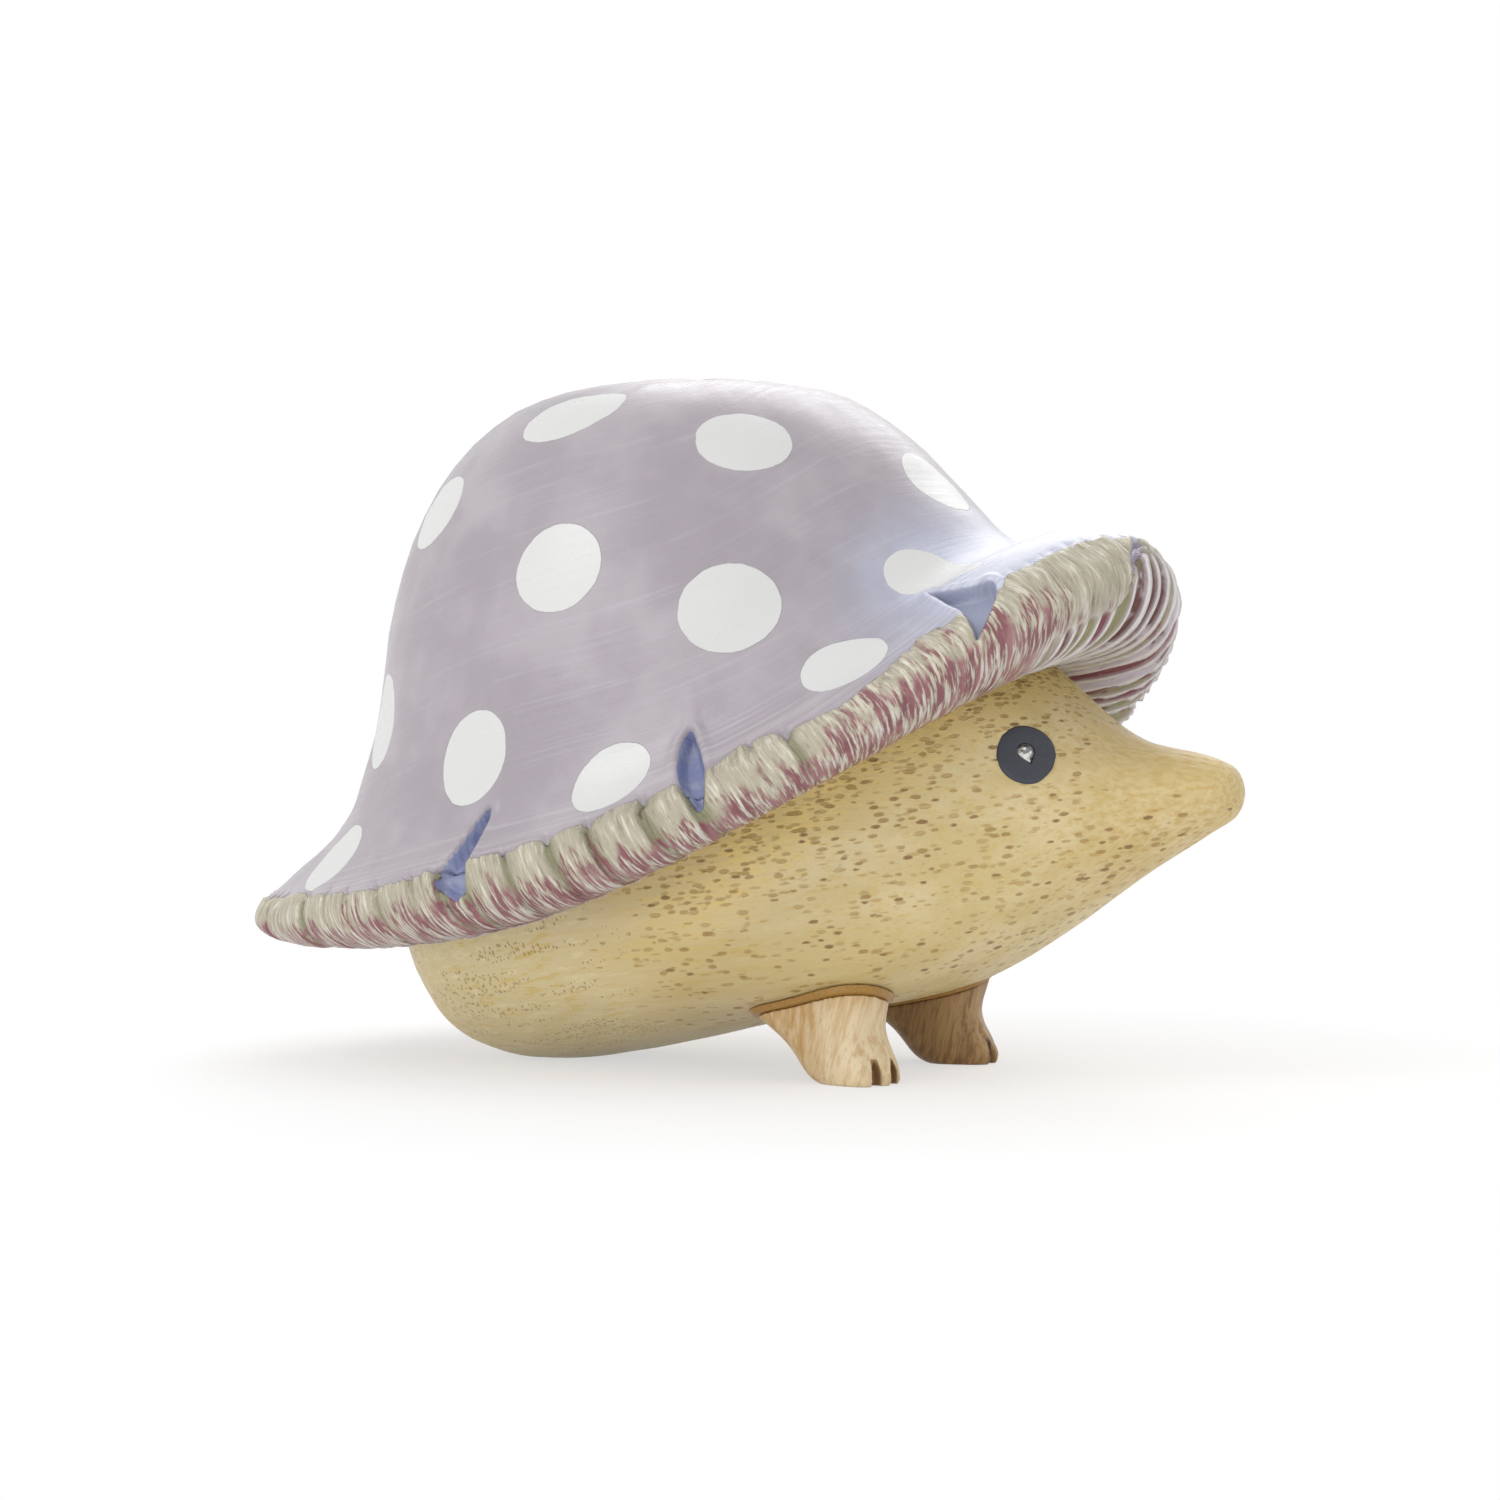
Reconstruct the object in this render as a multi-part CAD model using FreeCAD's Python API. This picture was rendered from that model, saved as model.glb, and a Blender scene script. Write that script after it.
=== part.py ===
import FreeCAD, Part
import math, os
from FreeCAD import Vector

# Hedgehog figurine: a carved wooden body under a painted mushroom cap with a flipped-up, gilled brim.
# Millimetres. +X runs to the nose, +Y to the animal's left, +Z up, and the table is at zero.

# Mushroom cap: where its upright axis stands, how far out the brim's edge lies from it and how high.
crown_from_rear = 43.5
crown_height = 106.5
brim_front_reach = 72.5
brim_front_quarter_reach = 66.0
brim_side_reach = 57.0
brim_rear_quarter_reach = 64.0
brim_rear_reach = 71.0
brim_front_height = 85.0
brim_front_quarter_height = 54.8
brim_side_height = 35.5
brim_rear_quarter_height = 25.5
brim_rear_height = 26.0

# Gilled roll under the brim's edge.
roll_height = 12.5
gill_count = 72
gill_depth = 1.8

# Splits that open in the brim's edge, each a V laid down the crown's slope.
split_length = 12.0
split_width = 5.5
split_depth = 3.2
split_lift = 2.2
split_end = 5.0

# Carved body. The belly lies slightly under the table's level and is planed flat there.
body_rear_x = -53.0
body_length = 134.5
body_half_width = 40.0
back_height = 81.0

# Feet, each carved by itself, glued on and held by a dowel.
foot_from_rear = 80.0
foot_half_track = 18.0
foot_splay_degrees = 12.0
foot_height = 26.0
foot_half_length = 9.0
foot_half_width = 6.6
toe_notch_width = 2.3
toe_notch_height = 3.6
toe_notch_depth = 2.4
dowel_radius = 2.5
dowel_length = 13.0
dowel_foot_depth = 5.0
dowel_end_gap = 0.3
glue_thickness = 0.9
glue_spread = 0.5

# Inlaid eyes, each a flat disc with a pear-shaped gem in the middle.
eye_radius = 4.7
eye_thickness = 2.6
eye_stand_out = 0.1
eye_bevel = 0.45
gem_length = 3.3
gem_width = 2.6
gem_height = 1.4
gem_stand_out = 0.3

# Pad of adhesive between the back and the roof of the cap's hollow.
adhesive_radius = 14.0
adhesive_thickness = 1.6

# Clearances between pieces that fit together, and how far cutters pass beyond the work.
seat_gap = 0.25
bond_gap = 0.06
socket_gap = 0.08
overrun = 20.0
sewing_tolerance = 0.01

# The spline cages: rings of poles round an axis, from one end of a form to the other.
cap_poles_around = 16
body_poles_around = 12
spline_degree = 3

# Each row gives shares at the front, front quarter, side, rear quarter and rear of the cap.
crown_reach_shares = [
    (0.0, 0.0, 0.0, 0.0, 0.0),
    (0.25, 0.27, 0.31, 0.28, 0.25),
    (0.43, 0.50, 0.60, 0.52, 0.46),
    (0.565, 0.65, 0.77, 0.70, 0.62),
    (0.69, 0.735, 0.84, 0.765, 0.69),
    (0.785, 0.80, 0.87, 0.79, 0.72),
    (0.90, 0.895, 0.905, 0.85, 0.845),
    (1.0, 1.0, 1.0, 1.0, 1.0),
]
crown_rise_shares = [
    (1.0, 1.0, 1.0, 1.0, 1.0),
    (1.0, 1.0, 1.0, 1.0, 1.0),
    (0.74, 0.885, 0.915, 0.925, 0.925),
    (0.26, 0.60, 0.67, 0.715, 0.72),
    (-0.07, 0.35, 0.40, 0.46, 0.44),
    (-0.23, 0.15, 0.185, 0.23, 0.185),
    (0.14, 0.045, 0.08, 0.11, 0.085),
    (0.0, 0.0, 0.0, 0.0, 0.0),
]
roll_reach_shares = [
    (1.0, 1.0, 1.0, 1.0, 1.0),
    (1.083, 1.053, 1.035, 1.03, 1.035),
    (1.097, 1.045, 1.018, 1.008, 1.014),
    (0.966, 0.91, 0.895, 0.906, 0.90),
    (0.717, 0.636, 0.58, 0.578, 0.507),
]
roll_drop_shares = [
    (0.0, 0.0, 0.0, 0.0, 0.0),
    (0.16, 0.20, 0.36, 0.24, 0.24),
    (1.04, 0.68, 1.0, 0.56, 0.48),
    (1.68, 0.78, 1.0, 0.52, 0.44),
    (1.76, 0.70, 0.68, 0.20, 0.08),
]
# Along the roll from the brim's edge to the throat: place, then depth of the groove between two gills.
gill_row_shares = [(0.07, 0.0), (0.17, 0.9), (0.32, 1.0), (0.50, 1.0), (0.72, 0.9), (1.0, 0.7)]
throat_height_share = 0.55
# Splits round the brim from the front, as shares of a turn to the animal's left, and their sizes.
split_place_shares = [(-0.29, 1.0), (-0.175, 0.95), (-0.065, 1.1), (0.025, 0.5), (0.15, 0.8), (0.33, 0.9)]

# Body stations from rear to nose: place, half width, top, bottom, and how round the lower half is.
body_station_shares = [
    (0.0, 0.0, 0.345, 0.345, 1.0),
    (0.0, 0.38, 0.50, 0.19, 1.0),
    (0.033, 0.76, 0.74, 0.012, 0.95),
    (0.15, 0.93, 0.92, -0.018, 0.85),
    (0.323, 0.97, 0.988, 0.045, 0.75),
    (0.494, 0.89, 1.0, 0.118, 0.55),
    (0.643, 0.76, 0.926, 0.152, 0.45),
    (0.755, 0.60, 0.786, 0.245, 0.70),
    (0.844, 0.40, 0.653, 0.34, 0.95),
    (0.911, 0.263, 0.617, 0.41, 1.0),
    (0.97, 0.175, 0.606, 0.472, 1.0),
    (0.998, 0.113, 0.584, 0.491, 1.0),
    (1.0, 0.0, 0.538, 0.538, 1.0),
]

# Foot sections from sole to top: height, heel and toe along the foot, half width.
foot_section_shares = [
    (0.0, -0.46, 0.70, 0.72),
    (0.045, -0.70, 0.74, 0.82),
    (0.16, -0.98, 0.60, 0.88),
    (0.30, -1.50, 0.44, 0.92),
    (0.45, -2.15, 0.52, 1.0),
    (1.0, -2.60, 0.70, 1.2),
]
foot_corner_share = 0.80
toe_notch_shares = (-0.27, 0.30)
dowel_back_share = -0.35

# The eye's place along the body and round its section from the side up, and how its gem points.
eye_place_share = 0.8015
eye_turn_share = 0.082
gem_point_shares = (0.30, -0.95)
gem_point_count = 9
gem_table_share = 0.55
gem_culet_share = 0.25
gem_girdle_share = 0.62

adhesive_place_share = 0.40

os.makedirs("parts", exist_ok=True)

crown_axis_x = body_rear_x + crown_from_rear
foot_x = body_rear_x + foot_from_rear
brim_reach = (
    brim_front_reach,
    brim_front_quarter_reach,
    brim_side_reach,
    brim_rear_quarter_reach,
    brim_rear_reach,
)
brim_height = (
    brim_front_height,
    brim_front_quarter_height,
    brim_side_height,
    brim_rear_quarter_height,
    brim_rear_height,
)
crown_spans = len(crown_reach_shares) - spline_degree
roll_spans = len(roll_reach_shares) - spline_degree
body_spans = len(body_station_shares) - spline_degree


# A smooth even curve round the cap through its values at the five compass points.
def compass_value(values, angle):
    last = len(values) - 1
    total = 0.0
    for order in range(last + 1):
        term = 0.0
        for place, value in enumerate(values):
            weight = 0.5 if place in (0, last) else 1.0
            term += weight * value * math.cos(math.pi * order * place / last)
        weight = 0.5 if order in (0, last) else 1.0
        total += 2.0 / last * weight * term * math.cos(order * angle)
    return total


# How far a ring of poles lies outside the circle that its spline draws.
def ring_gain(count):
    return 3.0 / (2.0 + math.cos(2.0 * math.pi / count))


# A spline surface closed round its axis and clamped at both of its ends.
def ringed_surface(net):
    around = len(net[0])
    spans = len(net) - spline_degree
    poles = [[row[index - 1] for row in net] for index in range(around)]
    end = [spline_degree + 1]
    surface = Part.BSplineSurface()
    surface.buildFromPolesMultsKnots(
        poles,
        [1] * (around + 1),
        end + [1] * (spans - 1) + end,
        [float(knot) for knot in range(around + 1)],
        [float(knot) for knot in range(spans + 1)],
        True,
        False,
        spline_degree,
        spline_degree,
    )
    return surface


def cap_ring(reaches, heights):
    gain = ring_gain(cap_poles_around)
    ring = []
    for index in range(cap_poles_around):
        angle = 2.0 * math.pi * index / cap_poles_around
        reach = gain * compass_value(reaches, angle)
        height = compass_value(heights, angle)
        ring.append(Vector(crown_axis_x + reach * math.cos(angle), reach * math.sin(angle), height))
    return ring


def crown_surface():
    net = []
    for reach_shares, rise_shares in zip(crown_reach_shares, crown_rise_shares):
        reaches = [share * reach for share, reach in zip(reach_shares, brim_reach)]
        heights = [low + share * (crown_height - low) for share, low in zip(rise_shares, brim_height)]
        net.append(cap_ring(reaches, heights))
    return ringed_surface(net)


def roll_surface():
    net = []
    for reach_shares, drop_shares in zip(roll_reach_shares, roll_drop_shares):
        reaches = [share * reach for share, reach in zip(reach_shares, brim_reach)]
        heights = [low - share * roll_height for share, low in zip(drop_shares, brim_height)]
        net.append(cap_ring(reaches, heights))
    return ringed_surface(net)


def unit_normal(surface, u, v):
    along_u, along_v = surface.tangent(u, v)
    normal = along_u.cross(along_v)
    normal.normalize()
    return normal


# The gills: even columns are ridges on the roll's surface, odd ones the grooves pressed in between.
def gill_points(roll):
    columns = 2 * gill_count
    rows = []
    for along, depth_share in gill_row_shares:
        row = []
        for column in range(columns):
            u = cap_poles_around * column / columns
            v = roll_spans * along
            point = roll.value(u, v)
            if column % 2:
                point = point + unit_normal(roll, u, v) * (gill_depth * depth_share)
            row.append(point)
        rows.append(row)
    return rows


def polygon_face(points):
    return Part.Face(Part.makePolygon(points + points[:1]))


# The lip under the brim's edge, one ruled face to each gill.
def lip_faces(crown, rows):
    rim = crown.vIso(float(crown_spans))
    faces = []
    for gill in range(gill_count):
        piece = rim.copy()
        piece.segment(cap_poles_around * gill / gill_count, cap_poles_around * (gill + 1) / gill_count)
        after = 2 * (gill + 1) % (2 * gill_count)
        ridge_line = Part.makeLine(rows[0][2 * gill], rows[0][after])
        faces.append(Part.makeRuledSurface(piece.toShape(), ridge_line))
    return faces


# Flat facets down both sides of each groove, and a fan that closes the throat inside the body.
def gill_faces(rows):
    columns = 2 * gill_count
    centre = Vector(crown_axis_x, 0, back_height * throat_height_share)
    faces = []
    for valley in range(1, columns, 2):
        after = (valley + 1) % columns
        for ridge in (valley - 1, after):
            faces.append(polygon_face([rows[0][ridge], rows[1][ridge], rows[1][valley]]))
            for upper, lower in zip(rows[1:], rows[2:]):
                faces.append(polygon_face([upper[ridge], lower[ridge], lower[valley]]))
                faces.append(polygon_face([upper[ridge], lower[valley], upper[valley]]))
            faces.append(polygon_face([rows[-1][ridge], rows[-1][valley], centre]))
        faces.append(polygon_face([rows[0][valley - 1], rows[0][after], rows[1][valley]]))
    return faces


def solid_from(faces):
    shape = Part.makeCompound(faces)
    shape.sewShape(sewing_tolerance)
    solid = Part.makeSolid(shape.Shells[0])
    if solid.Volume < 0:
        solid.reverse()
    return solid


# A split is a long pyramid with its tip up the crown's slope, open through the brim's edge.
def split_cutter(crown, place_share, size_share):
    u = cap_poles_around * (place_share % 1.0)
    edge = crown.value(u, float(crown_spans))
    across, down = crown.tangent(u, float(crown_spans))
    outward = unit_normal(crown, u, float(crown_spans))
    if outward.z < 0:
        outward = outward * -1.0
    across.normalize()
    down = down - across * down.dot(across)
    down.normalize()
    length = split_length * size_share
    growth = 1.0 + split_end / length
    tip = edge - down * length
    end = edge + down * split_end
    half = across * (split_width * size_share * growth / 2.0)
    lift = outward * (split_lift * growth)
    left = end + half + lift
    right = end - half + lift
    inner = end - outward * (split_depth * size_share * growth)
    return solid_from(
        [
            polygon_face([tip, left, right]),
            polygon_face([tip, right, inner]),
            polygon_face([tip, inner, left]),
            polygon_face([left, inner, right]),
        ]
    )


def body_ring(x, half_width, top, bottom, roundness):
    gain = ring_gain(body_poles_around)
    middle = (top + bottom) / 2.0
    half_height = gain * (top - bottom) / 2.0
    ring = []
    for index in range(body_poles_around):
        angle = 2.0 * math.pi * index / body_poles_around
        across, rise = math.cos(angle), math.sin(angle)
        if rise < 0:
            across = math.copysign(abs(across) ** roundness, across)
            rise = -(abs(rise) ** roundness)
        ring.append(Vector(x, gain * half_width * across, middle + half_height * rise))
    return ring


# The carved body's skin, or the same skin grown outwards by a clearance.
def body_surface(grow):
    net = []
    for place, width, top, bottom, roundness in body_station_shares:
        x = body_rear_x - grow + (body_length + 2.0 * grow) * place
        margin = grow if width else 0.0
        half_width = body_half_width * width + margin
        net.append(body_ring(x, half_width, back_height * top + margin, back_height * bottom - margin, roundness))
    return ringed_surface(net)


def body_blank(grow):
    solid = Part.makeSolid(Part.makeShell([body_surface(grow).toShape()]))
    if solid.Volume < 0:
        solid.reverse()
    return solid


# Heights where an upright line through a place of the plan enters and leaves the body.
def body_span_at(body, x, y):
    line = Part.makeLine(Vector(x, y, -overrun), Vector(x, y, back_height + overrun))
    inside = line.common(body).BoundBox
    return inside.ZMin, inside.ZMax


def mirrored(shape):
    return shape.mirror(Vector(0, 0, 0), Vector(0, 1, 0))


# Places a shape made round the origin, with its toes to +X, at the right foot.
def at_right_foot(shape):
    placed = shape.copy()
    placed.rotate(Vector(0, 0, 0), Vector(0, 0, 1), -foot_splay_degrees)
    placed.translate(Vector(foot_x, -foot_half_track, 0))
    return placed


def foot_section(height_share, heel_share, toe_share, width_share, spread):
    heel = foot_half_length * heel_share - spread
    toe = foot_half_length * toe_share + spread
    half_width = foot_half_width * width_share + spread
    middle = (heel + toe) / 2.0
    half_length = (toe - heel) / 2.0
    corner = foot_corner_share
    outline = [
        (1.0, 0.0),
        (corner, corner),
        (0.0, 1.0),
        (-corner, corner),
        (-1.0, 0.0),
        (-corner, -corner),
        (0.0, -1.0),
        (corner, -corner),
    ]
    z = foot_height * height_share
    points = [Vector(middle + half_length * along, half_width * side, z) for along, side in outline]
    curve = Part.BSplineCurve()
    curve.interpolate(Points=points, PeriodicFlag=True)
    return Part.Wire([curve.toShape()])


def foot_blank(spread):
    sections = [foot_section(*shares, spread) for shares in foot_section_shares]
    return Part.makeLoft(sections, True, False)


# An arched notch between two toes, cut back from the front of the foot.
def toe_notch(side_share):
    radius = toe_notch_width / 2.0
    middle = foot_half_width * side_share
    spring = toe_notch_height - radius
    start = foot_half_length * foot_section_shares[1][2] - toe_notch_depth
    left = Vector(start, middle - radius, -radius)
    right = Vector(start, middle + radius, -radius)
    left_spring = Vector(start, middle - radius, spring)
    right_spring = Vector(start, middle + radius, spring)
    crown_point = Vector(start, middle, toe_notch_height)
    edges = [
        Part.makeLine(left, right),
        Part.makeLine(right, right_spring),
        Part.Arc(right_spring, crown_point, left_spring).toShape(),
        Part.makeLine(left_spring, left),
    ]
    return Part.Face(Part.Wire(edges)).extrude(Vector(overrun, 0, 0))


def dowel(belly, radius_gap, end_gap):
    base = Vector(foot_half_length * dowel_back_share, 0, belly - dowel_foot_depth)
    return at_right_foot(Part.makeCylinder(dowel_radius + radius_gap, dowel_length + end_gap, base))


# Where the body's skin reaches a place along the body, on one line of its cage.
def station_parameter(surface, u, x):
    low = 0.0
    high = float(body_spans)
    while high - low > sewing_tolerance / back_height:
        middle = (low + high) / 2.0
        if surface.value(u, middle).x < x:
            low = middle
        else:
            high = middle
    return (low + high) / 2.0


# The right eye's centre on the skin, its outward direction and the way its gem points.
def eye_frame(surface):
    u = body_poles_around * (0.5 - eye_turn_share)
    v = station_parameter(surface, u, body_rear_x + body_length * eye_place_share)
    centre = surface.value(u, v)
    outward = unit_normal(surface, u, v)
    if outward.y > 0:
        outward = outward * -1.0
    forward_share, up_share = gem_point_shares
    point = Vector(forward_share, 0, up_share)
    point = point - outward * point.dot(outward)
    point.normalize()
    return centre, outward, point


def pear_outline(frame, scale, spread, lift):
    centre, outward, point = frame
    side = outward.cross(point)
    radius = gem_width / 2.0 + spread
    back = (gem_length - gem_width) / 2.0
    outline = [(gem_length / 2.0 + 2.0 * spread, 0.0)]
    for index in range(gem_point_count):
        angle = math.radians(60.0 + 240.0 * index / (gem_point_count - 1))
        outline.append((radius * math.cos(angle) - back, radius * math.sin(angle)))
    points = [centre + point * (scale * a) + side * (scale * b) + outward * lift for a, b in outline]
    return Part.makePolygon(points + points[:1])


def gem_solid(frame):
    top = eye_stand_out + gem_stand_out
    bottom = top - gem_height
    girdle = bottom + gem_height * gem_girdle_share
    rings = [
        pear_outline(frame, gem_culet_share, 0.0, bottom),
        pear_outline(frame, 1.0, 0.0, girdle),
        pear_outline(frame, gem_table_share, 0.0, top),
    ]
    return Part.makeLoft(rings, True, True)


def gem_pocket(frame):
    floor = Part.Face(pear_outline(frame, 1.0, socket_gap, eye_stand_out + gem_stand_out - gem_height))
    return floor.extrude(frame[1] * overrun)


def eye_disc(frame):
    centre, outward, _ = frame
    base = centre + outward * (eye_stand_out - eye_thickness)
    disc = Part.makeCylinder(eye_radius, eye_thickness, base, outward)
    half = eye_thickness / 2.0
    rim = [edge for edge in disc.Edges if edge.Closed and (edge.CenterOfMass - base).dot(outward) > half]
    return disc.makeChamfer(eye_bevel, rim).cut(gem_pocket(frame))


def eye_socket(frame):
    centre, outward, _ = frame
    base = centre + outward * (eye_stand_out - eye_thickness)
    return Part.makeCylinder(eye_radius + socket_gap, eye_thickness + overrun, base, outward)


crown = crown_surface()
rows = gill_points(roll_surface())
cap_blank = solid_from([crown.toShape()] + lip_faces(crown, rows) + gill_faces(rows))
body_form = body_blank(0.0)
frame = eye_frame(body_surface(0.0))

# The adhesive pad stands on the back and fills a round pocket in the roof of the cap's hollow.
adhesive_x = body_rear_x + body_length * adhesive_place_share
back_top = body_span_at(body_form, adhesive_x, 0.0)[1]
pocket_height = back_top / 2.0 + seat_gap + adhesive_thickness
pocket_base = Vector(adhesive_x, 0, back_top / 2.0)
pocket = Part.makeCylinder(adhesive_radius + socket_gap, pocket_height, pocket_base)
pad = Part.makeCylinder(adhesive_radius, pocket_height, pocket_base)
cap_adhesive = pad.cut(body_blank(bond_gap))

splits = [split_cutter(crown, place, size) for place, size in split_place_shares]
cap = cap_blank.cut([body_blank(seat_gap), pocket] + splits)

# The feet end where the glue under the belly begins, and the glue spreads a little past them.
dowel_place = at_right_foot(Part.Vertex(Vector(foot_half_length * dowel_back_share, 0, 0))).Point
belly = body_span_at(body_form, dowel_place.x, dowel_place.y)[0]
dowel_hole = dowel(belly, socket_gap, dowel_end_gap)
right_foot_blank = at_right_foot(foot_blank(0.0).cut([toe_notch(share) for share in toe_notch_shares]))
right_foot = right_foot_blank.cut([body_blank(glue_thickness + bond_gap), dowel_hole])
right_glue_blank = at_right_foot(foot_blank(glue_spread)).common(body_blank(glue_thickness))
right_foot_glue = right_glue_blank.cut([body_blank(bond_gap), dowel_hole])
right_foot_dowel = dowel(belly, 0.0, 0.0)

right_eye = eye_disc(frame)
right_eye_gem = gem_solid(frame)

under_table = Part.makeBox(
    body_length,
    2.0 * body_half_width,
    overrun,
    Vector(body_rear_x, -body_half_width, -overrun),
)
socket = eye_socket(frame)
body = body_form.cut([under_table, socket, mirrored(socket), dowel_hole, mirrored(dowel_hole)])

nodes = {
    "body": body,
    "cap": cap,
    "cap_adhesive": cap_adhesive,
    "right_foot": right_foot,
    "left_foot": mirrored(right_foot),
    "right_foot_glue": right_foot_glue,
    "left_foot_glue": mirrored(right_foot_glue),
    "right_foot_dowel": right_foot_dowel,
    "left_foot_dowel": mirrored(right_foot_dowel),
    "right_eye": right_eye,
    "left_eye": mirrored(right_eye),
    "right_eye_gem": right_eye_gem,
    "left_eye_gem": mirrored(right_eye_gem),
}

for name, shape in nodes.items():
    solids = shape.Solids
    solid = max(solids, key=lambda piece: piece.Volume)
    solid.exportStep("parts/" + name + ".step")
    print(name, "solids", len(solids), "valid", solid.isValid(), "volume", round(solid.Volume, 1))
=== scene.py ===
import logging
import math
from dataclasses import dataclass
from enum import Enum
from typing import Callable, Optional, Sequence

import bpy
import numpy as np
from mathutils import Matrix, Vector


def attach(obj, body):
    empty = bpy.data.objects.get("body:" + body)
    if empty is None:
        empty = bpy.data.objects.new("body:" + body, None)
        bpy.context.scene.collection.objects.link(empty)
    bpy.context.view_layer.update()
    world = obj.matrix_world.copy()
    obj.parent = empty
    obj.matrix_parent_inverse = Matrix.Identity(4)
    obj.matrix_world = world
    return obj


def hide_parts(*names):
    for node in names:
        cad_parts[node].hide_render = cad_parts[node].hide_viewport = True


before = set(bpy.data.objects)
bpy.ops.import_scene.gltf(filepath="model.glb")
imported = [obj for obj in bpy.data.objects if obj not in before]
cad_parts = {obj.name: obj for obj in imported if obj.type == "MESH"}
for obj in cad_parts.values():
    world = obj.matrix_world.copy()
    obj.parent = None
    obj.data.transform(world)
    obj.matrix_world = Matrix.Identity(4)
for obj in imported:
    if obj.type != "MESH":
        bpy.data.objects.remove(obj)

LOG = logging.getLogger("hedgehog")
MM = 0.001
TAU = 2.0 * math.pi
TINY = 1e-9
MEASURED_PLACES = 600
MEASURED_LINES = 8
SIDES = ("right", "left")
Triple = tuple[float, float, float]
Colour = Triple
Outline = tuple[tuple[float, float], ...]


# Small helpers

def srgb(red: int, green: int, blue: int) -> Colour:
    """Turns a screen colour of 0 to 255 into linear light.

    Args:
        red: Red channel.
        green: Green channel.
        blue: Blue channel.

    Returns:
        The three linear channels.
    """
    def linear(channel: int) -> float:
        """Linear value of one channel."""
        value = channel / 255.0
        return value / 12.92 if value <= 0.04045 else ((value + 0.055) / 1.055) ** 2.4

    return linear(red), linear(green), linear(blue)


def smoothstep(low: float, high: float, value: np.ndarray) -> np.ndarray:
    """Eases from 0 at low to 1 at high.

    Args:
        low: Where the step begins.
        high: Where the step ends.
        value: Values to ease.

    Returns:
        The eased values.
    """
    share = np.clip((value - low) / (high - low), 0.0, 1.0)
    return share * share * (3.0 - 2.0 * share)


def bell(value: np.ndarray, width: float) -> np.ndarray:
    """A smooth hump of height 1 round zero."""
    return np.exp(-(value / width) ** 2)


def inside_distance(across: np.ndarray, up: np.ndarray, outline: Outline) -> np.ndarray:
    """How far places lie inside a closed outline whose corners are rounded off.

    Args:
        across: Places across, in millimetres.
        up: Places up, in millimetres.
        outline: Corners in order.

    Returns:
        Distances in millimetres, below zero outside.
    """
    corners = np.array(outline)
    for _ in range(2):
        after = np.roll(corners, -1, axis=0)
        corners = np.stack([0.75 * corners + 0.25 * after, 0.25 * corners + 0.75 * after], 1).reshape(-1, 2)
    nearest = np.full(across.shape, np.inf)
    inside = np.zeros(across.shape, bool)
    for start, end in zip(corners, np.roll(corners, -1, axis=0)):
        edge = end - start
        a, b = across - start[0], up - start[1]
        share = np.clip((a * edge[0] + b * edge[1]) / edge.dot(edge), 0.0, 1.0)
        nearest = np.minimum(nearest, np.hypot(a - share * edge[0], b - share * edge[1]))
        if abs(edge[1]) > TINY:
            inside ^= ((start[1] > up) != (end[1] > up)) & (a < b * edge[0] / edge[1])
    return np.where(inside, nearest, -nearest)


@dataclass
class Waver:
    """Smooth seeded noise over a turn and a length, without a seam at the full turn."""

    seed: int
    around: int
    along: int = 16
    height: float = 1.0

    def __post_init__(self) -> None:
        """Draws the lattice of values."""
        self.lattice = np.random.default_rng(self.seed).uniform(-1.0, 1.0, (self.around, self.along))

    def __call__(self, turn: np.ndarray, share: np.ndarray) -> np.ndarray:
        """Reads the noise.

        Args:
            turn: Places round, in turns.
            share: Places along, from 0 to 1.

        Returns:
            Values up to the noise's height either way.
        """
        across = (turn % 1.0) * self.around
        down = np.clip(share, 0.0, 0.9999) * (self.along - 1)
        col, row = np.floor(across).astype(int), np.floor(down).astype(int)
        fx, fy = across - col, down - row
        fx, fy = fx * fx * (3 - 2 * fx), fy * fy * (3 - 2 * fy)
        col, nxt = col % self.around, (col + 1) % self.around
        low = self.lattice[col, row] * (1 - fx) + self.lattice[nxt, row] * fx
        high = self.lattice[col, row + 1] * (1 - fx) + self.lattice[nxt, row + 1] * fx
        return self.height * (low * (1 - fy) + high * fy)


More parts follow.
